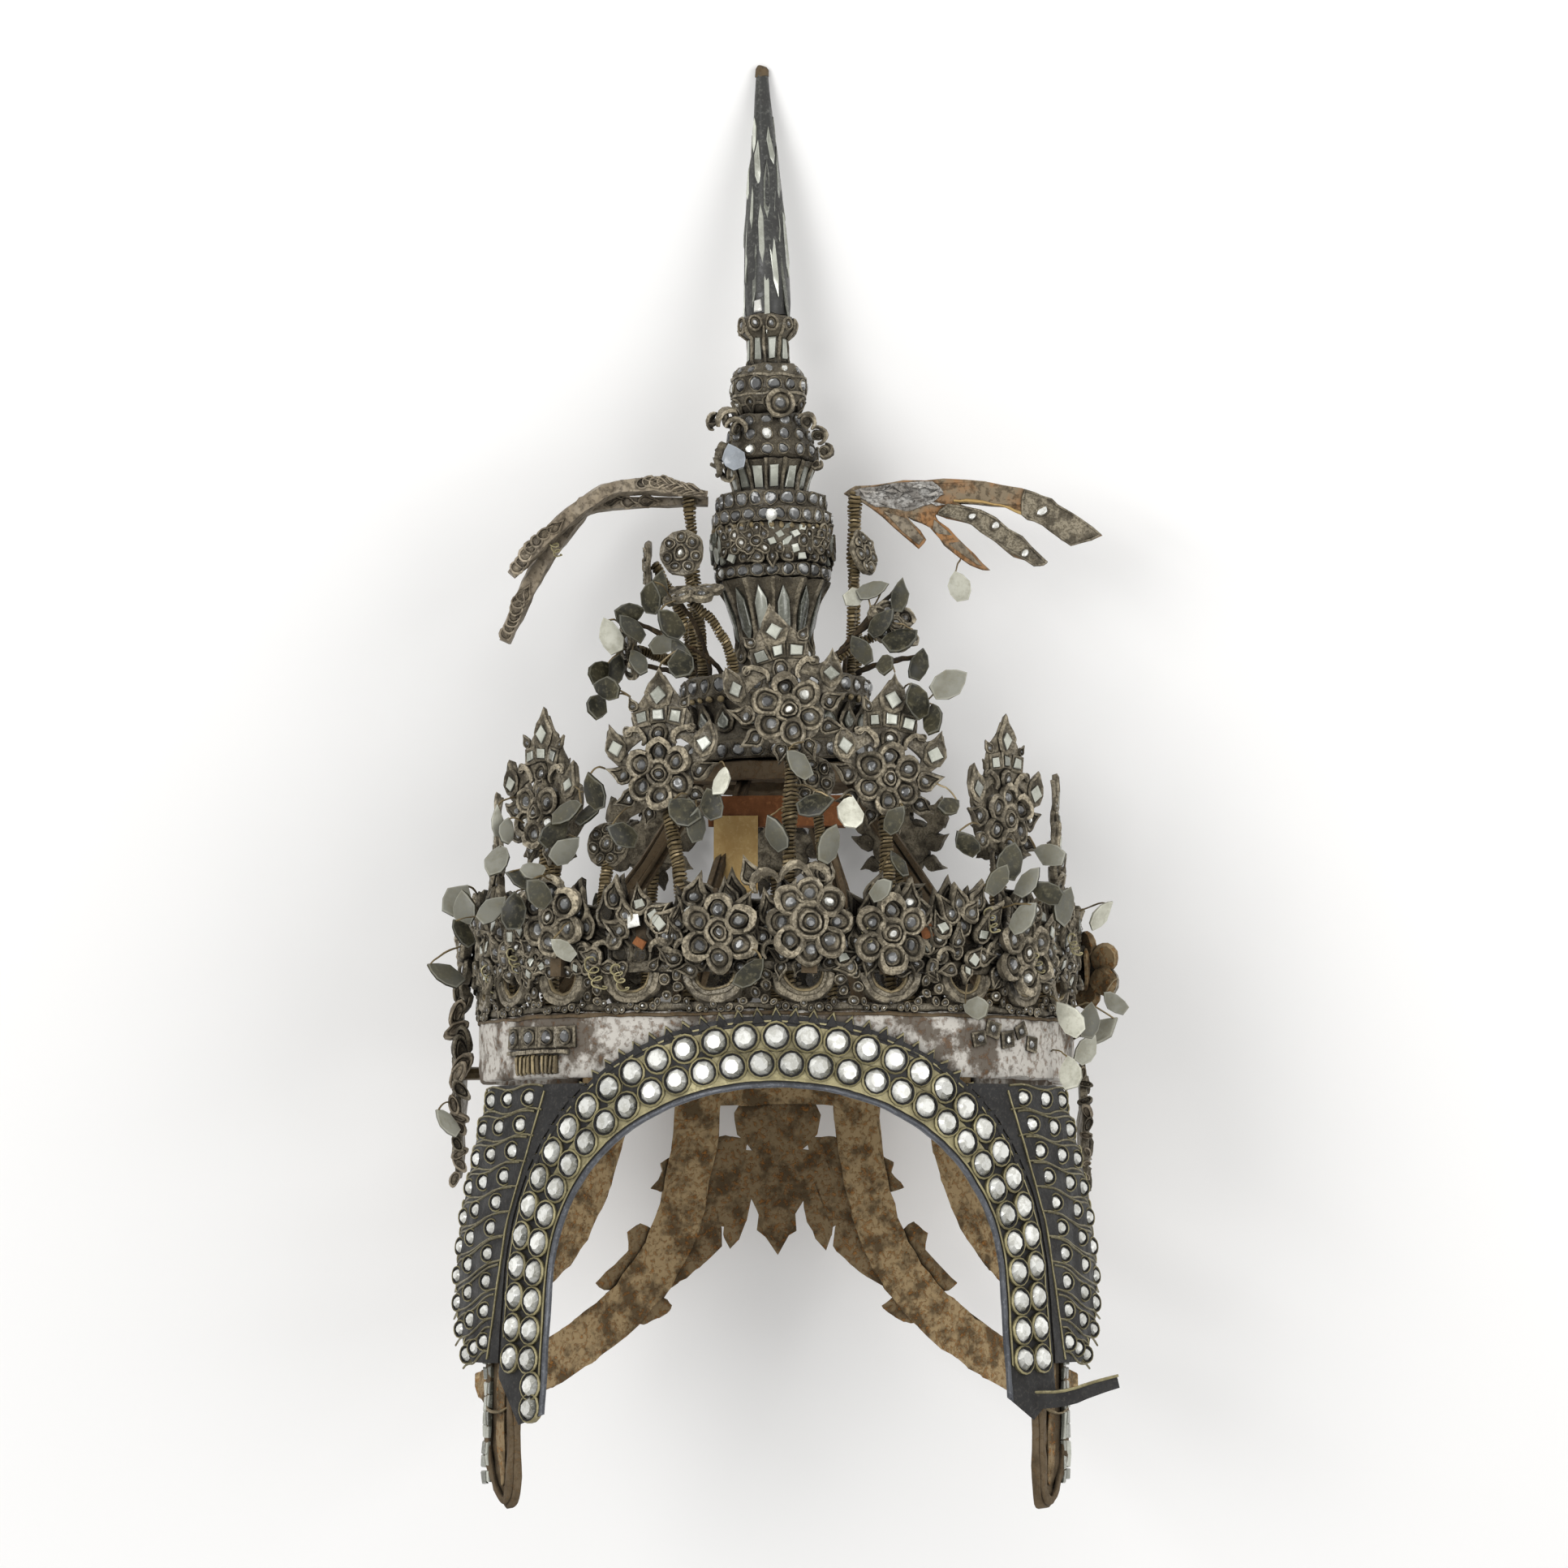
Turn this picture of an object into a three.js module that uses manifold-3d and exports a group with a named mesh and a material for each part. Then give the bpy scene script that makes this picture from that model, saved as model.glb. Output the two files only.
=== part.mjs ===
// A Thai dance crown that lies on its back, on the tip of its spire and two flowers of its crest.
// A headband carries a pierced crest, a jewelled frontlet for the face, side panels, ear boards and
// a nape guard. Rafters on the band hold a tiered tower, and palmettes, rosettes and a pair of wings
// stand on springs. Every piece is made upright, in millimetres: +Z up along the band's axis, -Y to
// the front, +X to the viewer's right, zero at the middle of the band's lower rim.
import * as THREE from 'three';
import { mergeGeometries, mergeVertices } from 'three/addons/utils/BufferGeometryUtils.js';
import Module from 'manifold-3d';

const wasm = await Module();
wasm.setup();

// Clearance between neighbouring pieces.
const GAP = 0.3;

// Corners closer than this to a straight edge or flat face are dropped from joined bodies.
const SLIVER = 0.05;

// Headband: a plain wall with an inner ledge that carries the rafters and springs.
const BAND_RADIUS = 97;
const BAND_WALL = 5;
const BAND_HEIGHT = 20;
const LEDGE_RADIUS = 77;
const LEDGE_THICKNESS = 4;
const BAND_SIDES = 36;

// Plates bent round the band: thickness, and how far they flare out for each millimetre below the rim.
const PLATE_RADIUS = BAND_RADIUS + GAP;
const PLATE_THICKNESS = 1.4;
const PLATE_FLARE = 0.085;
const PLATE_TOP = 19.5;
const PLATE_BOTTOM = -116;

// Frontlet: an arch round the face, laid out flat on the plate, with two rows of stones.
const ARCH_HALF_WIDTH = 73;
const ARCH_RISE = 58.7;
const ARCH_SPRINGING = -62;
const LEG_END = -92;
const FRONTLET_WIDTH = 21.5;
const FLAT_RADIUS = 98.5;
const ARCH_STEPS = 26;
const STONE_RADIUS = 4.5;
const TABLE_RADIUS = 2;
const STONE_HEIGHT = 2.4;
const STONE_ROOT = 0.9;
const STONE_SIDES = 8;
const STONE_ROWS = [
  { offset: 6.8, count: 32 },
  { offset: 15.2, count: 33 },
];
const LAST_STONES = [
  { arc: -78, z: -95.6 },
  { arc: -77.8, z: -102.4 },
];
// Corners of the two torn leg ends, as arc length from the middle and height.
const LEFT_LEG_END = [
  { arc: -82, z: -111 },
  { arc: -73, z: -104 },
];
const RIGHT_LEG_END = [
  { arc: 73, z: -99 },
  { arc: 78, z: -105 },
  { arc: 87, z: -107 },
];
const TORN_STRIP = { from: [79, -69.5, -100], to: [107, -58, -95], width: 5.4 };

// Side panels: outer edge by azimuth and height, from the band down, notched between the rows of stones.
const PANEL_TOP = -2;
const PANEL_BOTTOM = -89;
const PANEL_ROWS = 10;
const PANEL_NOTCH = 1.6;
const PANEL_INNER_ANGLE = 46;
const PANEL_EDGE = [
  { z: -2, angle: 68 },
  { z: -24, angle: 76 },
  { z: -46, angle: 85 },
  { z: -60, angle: 85 },
  { z: -76, angle: 76 },
  { z: -89, angle: 66 },
];

// Ear plates stand outside the band, one higher and further out than the other.
const EAR_PLATE_THICKNESS = 2.5;
const EAR_PEG_RADIUS = 2.5;
const EAR_PEG_HEIGHT = 4;
const EAR_PLATES = [
  { name: 'ear_plate_left', side: -1, offset: 104, low: -34, high: 36 },
  { name: 'ear_plate_right', side: 1, offset: 100.6, low: -42, high: 12 },
];
const EAR_PLATE_FRONT = 10;
const EAR_PLATE_BACK = 44;

// Ear boards: boat-shaped slats behind the plates, their tips turned a little to the face.
const BOARD = { angle: 60, top: -62, bottom: -135, halfWidth: 9.2, thickness: 4.4, tip: 4, setback: 0.8 };

// Nape guard: one sheet inside the back of the band. Its pieces are outlines seen from the front.
const NAPE_RADIUS = BAND_RADIUS - BAND_WALL - GAP;
const NAPE_THICKNESS = 1.4;
const NAPE_FLARE = 0.075;
const NAPE_TOP = 9;
const NAPE_BOTTOM = -112;
const STRIP_STEPS = 7;
const NAPE_RAIL = { halfWidth: 66, bottom: -5 };
const NAPE_STRIPS = [
  {
    halfWidth: 7.6,
    line: [[-27, 4], [-29, -22], [-36, -50], [-50, -72], [-72, -90], [-97, -102]],
  },
  {
    halfWidth: 7,
    line: [[-55, 4], [-61, -22], [-70, -46], [-82, -62], [-97, -72]],
  },
];
// Half of the palmette: a round head, a broad leaf below it and three leaf tips.
const NAPE_PALMETTE = [
  [-12, -3], [-14.9, -8], [-13.5, -15], [-8.5, -20.5], [-14, -20.8], [-17.4, -25], [-19.5, -32],
  [-19, -44], [-18.6, -50], [-16.6, -54.5], [-13.4, -51], [-10.6, -45], [-9, -37.4], [-6.2, -42.5],
  [-6.8, -48], [-4, -50.2], [0, -56.4],
];
const NAPE_LEAVES = [
  [[-22, -36], [-33, -54], [-36.5, -67.5], [-28, -62], [-19, -53.5]],
  [[-44, -68], [-36, -74], [-38, -76.5], [-46, -80], [-58, -77]],
  [[-32, -20], [-40, -25], [-39.4, -28], [-43.6, -33.5], [-38, -35.5], [-32, -34]],
  [[-41, -50], [-47, -45.5], [-51.5, -49], [-51, -55], [-61.5, -66], [-57, -68.5], [-46, -68]],
];

// Crest gallery: a ring of pierced bays, each with a leaf bud on its top rail.
const CREST_BAYS = 22;
const CREST_PHASE = 5;
const CREST_INNER_RADIUS = 93.8;
const CREST_THICKNESS = 3.4;
const CREST_BOTTOM = BAND_HEIGHT + GAP;
const CREST_RAIL = 36;
const BUD = { halfFoot: 5.5, halfWidth: 7, shoulder: 50, tip: 60 };
const SCROLL_HOLE = { halfWidth: 9, top: 31.5, shoulder: 27, bottom: 23.4 };

// Flowers of the crest: azimuth, height of the middle, petals and radius.
const FLOWER_BACK_RADIUS = 100.2;
const FLOWER_THICKNESS = 3;
const FLOWER_BOSS = 1.3;
const TAB_WIDTH = 5;
const TAB_FOOT = 31;
const FLOWERS = [
  { angle: 5.8, z: 47, petals: 8, radius: 13 },
  { angle: -9.9, z: 43.5, petals: 6, radius: 11.8 },
  { angle: 20.3, z: 43.5, petals: 6, radius: 11.8 },
  { angle: -43.5, z: 50, petals: 6, radius: 12.4 },
  { angle: 50, z: 39, petals: 6, radius: 12.4 },
  { angle: 88, z: 37, petals: 6, radius: 12 },
  { angle: -86, z: 40, petals: 6, radius: 12 },
  { angle: 160, z: 46, petals: 6, radius: 12 },
  { angle: -160, z: 46, petals: 6, radius: 12 },
];

// Palmettes: azimuth, radius and height of the flower, then turns of the plate in degrees.
// seat is the azimuth from the plate to the foot of its spring.
const PALMETTE_THICKNESS = 2.6;
const PALMETTE_BOSS = { radius: 7.4, table: 4.8, height: 1.6, sides: 6 };
const SPRING_SIDES = 5;
const SPRING_STEPS = 2;
const SPRING_SETBACK = 1.6;
const PALMETTE_SPRING_RADIUS = 2.7;
const SPRING_SEAT_RADIUS = 87.6;
const PALMETTES = [
  { angle: 2.5, radius: 85, z: 114, roll: -10, lean: 0, turn: 0, seat: 0 },
  { angle: -25, radius: 85, z: 94.5, roll: -1.5, lean: 0, turn: 4, seat: 7 },
  { angle: 24, radius: 85, z: 93, roll: 4, lean: 0, turn: -4, seat: 0 },
  { angle: -58.5, radius: 88, z: 85, roll: 4, lean: 0, turn: 8, seat: 4 },
  { angle: 55.5, radius: 88, z: 82.5, roll: 0, lean: 0, turn: -5, seat: -4 },
  { angle: -86, radius: 91, z: 62, roll: -4, lean: 0, turn: 0, seat: 0 },
  { angle: 88, radius: 91, z: 68, roll: 0, lean: 0, turn: 0, seat: 0 },
  { angle: -118, radius: 86, z: 86, roll: 3, lean: 6, turn: 0, seat: 0 },
  { angle: 118, radius: 86, z: 86, roll: -3, lean: 6, turn: 0, seat: 0 },
  { angle: -149, radius: 83, z: 84, roll: 2, lean: 14, turn: 0, seat: 0 },
  { angle: 149, radius: 83, z: 84, roll: -2, lean: 14, turn: 0, seat: 0 },
  { angle: 180, radius: 78, z: 82, roll: 0, lean: 18, turn: 0, seat: 0 },
];
// Right half of a palmette's outline, from the foot of its flower to its tip.
const PALMETTE_HALF = [
  [6, -10.5], [10.8, -5], [11.2, 1.5], [15, 3], [19.6, 8], [18.2, 17.5], [13.5, 12.6], [9.2, 15],
  [9.8, 20], [5.2, 26],
];
const PALMETTE_FOOT = -12;
const PALMETTE_TIP = 34;
const PALMETTE_HOLE = [[4.6, 7], [10.6, 5.4], [11.2, 8], [4.8, 11.8]];

// Roof frame: rafters from the ledge to a ring, and two boards nailed behind the front of the crest.
const RAFTER_COUNT = 8;
const RAFTER_SIZE = 5;
const RAFTER_FOOT_RADIUS = 81;
const RAFTER_FOOT_RISE = 1.5;
const ROOF_RING = { inner: 18, outer: 33, bottom: 97, top: 103 };
const ROOF_BOARDS = [
  { size: [44, 6, 10], at: [0, -40, 86] },
  { size: [14, 5, 24], at: [-13, -42, 72] },
];

// Tower: stacked turned pieces, each a profile of radius and height, on a slightly crooked axis.
const TOWER_SEAT = 104;
const TOWER_LEAN = 1.2;
const TOWER = [
  {
    name: 'tower_base',
    sides: 14,
    profile: [[34, 0], [34, 6], [28.5, 8], [27, 20], [31, 21.5], [31, 28], [21, 28], [20, 28.6]],
  },
  { name: 'lotus_cup', sides: 12, profile: [[13, 28.9], [11.5, 38], [13, 49], [18, 60.5]] },
  {
    name: 'lower_bulb',
    sides: 12,
    profile: [[17, 60.8], [18.6, 61.5], [18.6, 66], [20.2, 70], [20.2, 75], [18.8, 78.6]],
  },
  { name: 'stone_rings', sides: 12, profile: [[19.8, 78.9], [19.8, 84], [18.2, 84.3], [18.2, 89.4]] },
  { name: 'upper_cup', sides: 12, profile: [[11.4, 89.7], [12, 94], [15, 100]] },
  { name: 'leaf_tier', sides: 12, profile: [[14.5, 100.3], [17, 102], [17, 108], [12, 116]] },
  { name: 'upper_bulb', sides: 12, profile: [[9, 116.3], [12.4, 124], [12.4, 129], [10, 132.5]] },
  { name: 'neck', sides: 10, profile: [[6.4, 132.8], [6.6, 141], [9.5, 145.5], [7.8, 149.2]] },
  { name: 'spire', sides: 8, profile: [[7.4, 149.5], [6.9, 175], [4.2, 207], [1.6, 233.8]] },
];
const SPRING_SEAT_TOWER = { radius: 26.5, z: TOWER_SEAT + 28 };

// Rosettes: middle, the way they face as azimuth and elevation, and the foot of the spring.
const ROSETTE_RADIUS = 7.7;
const ROSETTE_SIDES = 8;
const ROSETTE_PROFILE = [[7.7, 0], [7.7, 1.6], [3.4, 2], [3, 3.2]];
const ROSETTE_SPRING_RADIUS = 1.9;
const ROSETTES = [
  { at: [-29, -24, 172], azimuth: -20, rise: 0, seat: -62, onTower: true },
  { at: [-40, 2, 172], azimuth: -90, rise: 0, seat: -100, onTower: true },
  { at: [29, -14, 172], azimuth: 62, rise: 10, seat: 68, onTower: true },
  { at: [-26, -31, 156], azimuth: -30, rise: 72, seat: -30, onTower: true },
  { at: [38, -22, 146], azimuth: 35, rise: 30, seat: 42, onTower: true },
  { at: [-46, -6, 143], azimuth: -75, rise: -10, seat: -124, onTower: true },
  { at: [11, -75, 93], azimuth: 0, rise: 0, seat: 12, onTower: false },
  { at: [-53, -53, 74], azimuth: -30, rise: 10, seat: -42, onTower: false },
];

// Wings: the right one seen flat, the left one seen on its edge with its feathers one behind another.
const WING_THICKNESS = 2.6;
const WING_SPRING_RADIUS = 2.3;
const WING_RIGHT = {
  name: 'wing_right',
  seat: 88,
  root: [28, -2.7, 193.5],
  back: -4,
  outline: [
    [24, 193.5], [28, 195.6], [44, 197.2], [64, 197.7], [83, 194], [99, 185], [108.5, 178],
    [98.5, 174.8], [89, 182], [78, 188], [62, 189.6], [68.5, 187], [82.5, 177.5], [90, 169],
    [86.5, 168.4], [76.5, 174], [66, 182.4], [54, 186], [55, 184], [64, 175.5], [71.5, 167],
    [68, 167.8], [59, 173.4], [52, 181.5], [45, 185.5], [51, 178], [48.5, 175], [43, 179.4],
    [33, 189],
  ],
};
const WING_LEFT = {
  name: 'wing_left',
  seat: -78,
  thickness: 6,
  root: [-27, -4, 194.5],
  feathers: [
    {
      front: -12,
      depth: 9,
      line: [[-22, 196], [-34, 198.8], [-47, 199.6], [-59, 196.2], [-76, 182.6], [-87, 171]],
    },
    {
      front: -4,
      depth: 9,
      line: [[-22, 195], [-58, 195], [-66.3, 190], [-78, 174.5], [-84.9, 161.7], [-90, 150]],
    },
  ],
};

// Finishes, with colour, roughness and metalness.
const FINISHES = {
  lacquer: { color: 0x6f665a, roughness: 0.7, metalness: 0.2 },
  gesso: { color: 0xbdb8b5, roughness: 0.9, metalness: 0 },
  plate: { color: 0x2d2e33, roughness: 0.5, metalness: 0.3 },
  rust: { color: 0x6e553a, roughness: 0.85, metalness: 0.2 },
  wood: { color: 0x8a5a34, roughness: 0.8, metalness: 0 },
  mirror: { color: 0x3a3b3a, roughness: 0.3, metalness: 0.5 },
};

const DEGREE = Math.PI / 180;

// A closed geometry as a solid with merged corners, no flat-out triangles, and faces pointing out.
function solidOf(geometry) {
  const bare = geometry.clone();
  bare.deleteAttribute('normal');
  bare.deleteAttribute('uv');
  const merged = mergeVertices(bare, 1e-3);
  const position = merged.attributes.position;
  const triangles = [];
  const corners = [new THREE.Vector3(), new THREE.Vector3(), new THREE.Vector3()];
  let volume = 0;
  for (let i = 0; i < merged.index.count; i += 3) {
    const ids = [0, 1, 2].map((k) => merged.index.getX(i + k));
    if (new Set(ids).size < 3) continue;
    ids.forEach((id, k) => corners[k].fromBufferAttribute(position, id));
    volume += corners[0].dot(corners[1].cross(corners[2]));
    triangles.push(ids);
  }
  if (volume < 0) triangles.forEach((ids) => ids.reverse());
  const vertProperties = new Float32Array(position.array);
  const triVerts = new Uint32Array(triangles.flat());
  return new wasm.Manifold(new wasm.Mesh({ numProp: 3, vertProperties, triVerts }));
}

// Slivers left where bodies were joined or cut are melted into their neighbours.
function geometryOf(solid) {
  const mesh = solid.asOriginal().simplify(SLIVER).getMesh();
  const geometry = new THREE.BufferGeometry();
  geometry.setAttribute('position', new THREE.BufferAttribute(mesh.vertProperties, 3));
  geometry.setIndex(new THREE.BufferAttribute(mesh.triVerts, 1));
  return geometry;
}

function fuse(geometries) {
  return geometries.map(solidOf).reduce((whole, next) => whole.add(next));
}

// A turned body from rows of radius and height. Open profiles are closed on the axis.
function turned(profile, sides, closed = false) {
  const rows = profile.map(([radius, z]) => new THREE.Vector2(radius, z));
  const ends = [new THREE.Vector2(0, rows[0].y), new THREE.Vector2(0, rows.at(-1).y)];
  const points = closed ? [...rows, rows[0].clone()] : [ends[0], ...rows, ends[1]];
  return new THREE.LatheGeometry(points, sides).rotateX(Math.PI / 2);
}

function shapeOf(points) {
  return new THREE.Shape(points.map(([x, y]) => new THREE.Vector2(x, y)));
}

// An outline in X and Z, given its thickness along Y from the front to the back.
function slab(points, front, depth, holes = []) {
  const shape = shapeOf(points);
  shape.holes = holes.map(shapeOf);
  const geometry = new THREE.ExtrudeGeometry(shape, { depth, bevelEnabled: false });
  return geometry.rotateX(Math.PI / 2).translate(0, front + depth, 0);
}

// A rod of few sides along a curve.
function rod(curve, radius, sides, steps) {
  const ring = Array.from({ length: sides }, (unused, i) => {
    const angle = (2 * Math.PI * i) / sides;
    return [radius * Math.cos(angle), radius * Math.sin(angle)];
  });
  return new THREE.ExtrudeGeometry(shapeOf(ring), { steps, extrudePath: curve, bevelEnabled: false });
}

// A squared bar between two points.
function bar(from, to, width, height) {
  const start = new THREE.Vector3(...from);
  const end = new THREE.Vector3(...to);
  const along = end.clone().sub(start);
  const geometry = new THREE.BoxGeometry(width, height, along.length());
  const turn = new THREE.Matrix4().lookAt(end, start, new THREE.Vector3(0, 0, 1));
  geometry.applyMatrix4(turn);
  return geometry.translate(...start.add(end).multiplyScalar(0.5).toArray());
}

function onCircle(radius, degrees, z) {
  const angle = degrees * DEGREE;
  return new THREE.Vector3(radius * Math.sin(angle), -radius * Math.cos(angle), z);
}

function piece(name, finish, geometry) {
  const shown = geometry.isBufferGeometry ? geometryOf(solidOf(geometry)) : geometryOf(geometry);
  const mesh = new THREE.Mesh(shown, new THREE.MeshStandardMaterial(FINISHES[finish]));
  mesh.name = name;
  return mesh;
}

// The bent plates' wall, a ring that widens below the band's rim.
function flaredWall(radius, thickness, flare, top, bottom) {
  const wide = -bottom * flare;
  const profile = [
    [radius + wide, bottom], [radius, 0], [radius, top],
    [radius + thickness, top], [radius + thickness, 0], [radius + thickness + wide, bottom],
  ];
  return solidOf(turned(profile, BAND_SIDES, true));
}

function plateRadius(z) {
  return PLATE_RADIUS + PLATE_THICKNESS + PLATE_FLARE * Math.max(0, -z);
}

function headband() {
  const inside = BAND_RADIUS - BAND_WALL;
  const underLedge = BAND_HEIGHT - LEDGE_THICKNESS;
  const profile = [
    [BAND_RADIUS, 0], [BAND_RADIUS, BAND_HEIGHT], [LEDGE_RADIUS, BAND_HEIGHT],
    [LEDGE_RADIUS, underLedge], [inside, underLedge], [inside, 0],
  ];
  return piece('headband', 'gesso', turned(profile, BAND_SIDES, true));
}

// The arch of the face opening, moved out by an offset, as a flat path from the left leg to the right.
function archPath(offset) {
  const halfWidth = ARCH_HALF_WIDTH + offset;
  const path = new THREE.Path();
  path.moveTo(-halfWidth, LEG_END);
  path.lineTo(-halfWidth, ARCH_SPRINGING);
  path.absellipse(0, ARCH_SPRINGING, halfWidth, ARCH_RISE + offset, Math.PI, 0, true);
  path.lineTo(halfWidth, LEG_END);
  return path;
}

function archPoints(offset) {
  return archPath(offset).getSpacedPoints(ARCH_STEPS);
}

// A flat point of the frontlet, seen from the front once the plate is bent.
function seenFromFront(arc, z) {
  return [plateRadius(z) * Math.sin(arc / FLAT_RADIUS), z];
}

function frontletOutline(margin) {
  const inner = archPoints(-margin).map((p) => seenFromFront(p.x, p.y));
  const outer = archPoints(FRONTLET_WIDTH + margin).map((p) => seenFromFront(p.x, p.y));
  const left = LEFT_LEG_END.map((p) => seenFromFront(p.arc - margin, p.z - margin));
  const right = RIGHT_LEG_END.map((p) => seenFromFront(p.arc + margin, p.z - margin));
  return [...left, ...inner, ...right, ...outer.reverse()];
}

function frontStone(arc, z) {
  const profile = [[STONE_RADIUS, -STONE_ROOT], [TABLE_RADIUS, STONE_HEIGHT]];
  const degrees = arc / FLAT_RADIUS / DEGREE;
  const flare = z < 0 ? Math.atan(PLATE_FLARE) : 0;
  const stone = turned(profile, STONE_SIDES).rotateX(Math.PI / 2 - flare).rotateZ(degrees * DEGREE);
  return stone.translate(...onCircle(plateRadius(z), degrees, z).toArray());
}

function stoneRow({ offset, count }) {
  const path = archPath(offset);
  return Array.from({ length: count }, (unused, i) => {
    const point = path.getPointAt((i + 0.5) / count);
    return frontStone(point.x, point.y);
  });
}

function plateWall() {
  return flaredWall(PLATE_RADIUS, PLATE_THICKNESS, PLATE_FLARE, PLATE_TOP, PLATE_BOTTOM);
}

function frontlet() {
  const outline = slab(frontletOutline(0), -130, 130);
  const plate = plateWall().intersect(solidOf(outline));
  const { from, to, width } = TORN_STRIP;
  const strip = bar(from, to, PLATE_THICKNESS, width);
  const stones = [...STONE_ROWS.flatMap(stoneRow), ...LAST_STONES.map(({ arc, z }) => frontStone(arc, z))];
  return piece('frontlet', 'plate', plate.add(fuse([...stones, strip])));
}

function panelEdgeAngle(z) {
  const next = PANEL_EDGE.findIndex((row, i) => i > 0 && z >= row.z);
  const above = PANEL_EDGE[next - 1];
  const below = PANEL_EDGE[next];
  return THREE.MathUtils.mapLinear(z, above.z, below.z, above.angle, below.angle);
}

// A side panel, cut from the plates' wall by its outline seen from the right side.
function sidePanel(name, side) {
  const seenFromSide = (degrees, z) => [-plateRadius(z) * Math.cos(degrees * DEGREE), z];
  const pitch = (PANEL_TOP - PANEL_BOTTOM) / PANEL_ROWS;
  const outline = [seenFromSide(PANEL_INNER_ANGLE, PANEL_BOTTOM)];
  for (let row = PANEL_ROWS - 1; row >= 0; row -= 1) {
    const low = PANEL_TOP - pitch * (row + 1);
    const high = PANEL_TOP - pitch * row;
    const edge = seenFromSide(panelEdgeAngle((low + high) / 2), low)[0];
    outline.push([edge, low], [edge - PANEL_NOTCH, high]);
  }
  outline.push(seenFromSide(PANEL_INNER_ANGLE, PANEL_TOP));
  const prism = slab(outline, 0, 130).rotateZ(Math.PI / 2).translate(130, 0, 0);
  if (side < 0) prism.scale(-1, 1, 1);
  const cutter = solidOf(slab(frontletOutline(GAP), -130, 130));
  const panel = plateWall().intersect(solidOf(prism)).subtract(cutter);
  return piece(name, 'plate', panel);
}

function earPlate({ name, side, offset, low, high }) {
  const middle = (EAR_PLATE_FRONT + EAR_PLATE_BACK) / 2;
  const height = high - low;
  const outline = [
    [EAR_PLATE_FRONT + 6, low], [EAR_PLATE_BACK - 8, low + height * 0.12],
    [EAR_PLATE_BACK, low + height * 0.45], [middle + 8, low + height * 0.75],
    [middle, high], [middle - 8, low + height * 0.72], [EAR_PLATE_FRONT, low + height * 0.4],
  ];
  const plate = slab(outline, 0, EAR_PLATE_THICKNESS).rotateZ(Math.PI / 2);
  plate.translate(offset + EAR_PLATE_THICKNESS, 0, 0);
  const bandX = Math.sqrt(BAND_RADIUS ** 2 - (middle - EAR_PEG_RADIUS) ** 2) + GAP;
  const pegLine = new THREE.LineCurve3(
    new THREE.Vector3(bandX, middle, EAR_PEG_HEIGHT),
    new THREE.Vector3(offset + EAR_PLATE_THICKNESS / 2, middle, EAR_PEG_HEIGHT),
  );
  const solid = fuse([plate, rod(pegLine, EAR_PEG_RADIUS, 8, 1)]);
  const mesh = piece(name, 'lacquer', side < 0 ? geometryOf(solid).scale(-1, 1, 1) : solid);
  return mesh;
}

function earBoard(name, side) {
  const { angle, top, bottom, halfWidth, thickness, setback } = BOARD;
  const tip = -side * BOARD.tip;
  const height = top - bottom;
  const outline = [
    [tip - halfWidth * 0.5, bottom + height * 0.04], [tip, bottom],
    [tip + halfWidth * 0.5, bottom + height * 0.04],
    [halfWidth, bottom + height * 0.2], [halfWidth, bottom + height * 0.55],
    [halfWidth * 0.6, top], [-halfWidth * 0.6, top],
    [-halfWidth, bottom + height * 0.55], [-halfWidth, bottom + height * 0.2],
  ];
  const face = PLATE_RADIUS + PLATE_FLARE * -top - setback;
  const mesh = piece(name, 'wood', slab(outline, -face, thickness));
  mesh.rotation.z = side * angle * DEGREE;
  return mesh;
}

// A strip of the nape guard as an outline on both sides of its middle line.
function stripOutline(line, halfWidth) {
  const curve = new THREE.SplineCurve(line.map(([x, z]) => new THREE.Vector2(x, z)));
  const stations = Array.from({ length: STRIP_STEPS + 1 }, (unused, i) => i / STRIP_STEPS);
  const beside = (t, sign) => {
    const point = curve.getPoint(t);
    const tangent = curve.getTangent(t);
    return [point.x - sign * halfWidth * tangent.y, point.y + sign * halfWidth * tangent.x];
  };
  const there = stations.map((t) => beside(t, 1));
  const back = stations.map((t) => beside(t, -1)).reverse();
  return [...there, ...back];
}

function mirrored(points) {
  return points.map(([x, z]) => [-x, z]).reverse();
}

function napeGuard() {
  const { halfWidth, bottom } = NAPE_RAIL;
  const rail = [[-halfWidth, bottom], [halfWidth, bottom], [halfWidth, NAPE_TOP], [-halfWidth, NAPE_TOP]];
  const strips = NAPE_STRIPS.map((strip) => stripOutline(strip.line, strip.halfWidth));
  const leaves = [...strips, ...NAPE_LEAVES];
  const palmette = [...NAPE_PALMETTE, ...mirrored(NAPE_PALMETTE.slice(0, -1))];
  const outlines = [rail, palmette, ...leaves, ...leaves.map(mirrored)];
  const prisms = fuse(outlines.map((points) => slab(points, 0, 130)));
  const inner = NAPE_RADIUS - NAPE_THICKNESS;
  const wall = flaredWall(inner, NAPE_THICKNESS, NAPE_FLARE, NAPE_TOP, NAPE_BOTTOM);
  return piece('nape_guard', 'rust', wall.intersect(prisms));
}

// A flat geometry with X as arc length, bent round the band's axis.
function bent(geometry, radius) {
  const position = geometry.attributes.position;
  for (let i = 0; i < position.count; i += 1) {
    const angle = position.getX(i) / radius;
    const reach = radius - position.getY(i);
    position.setXYZ(i, reach * Math.sin(angle), -reach * Math.cos(angle), position.getZ(i));
  }
  return geometry;
}

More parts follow.
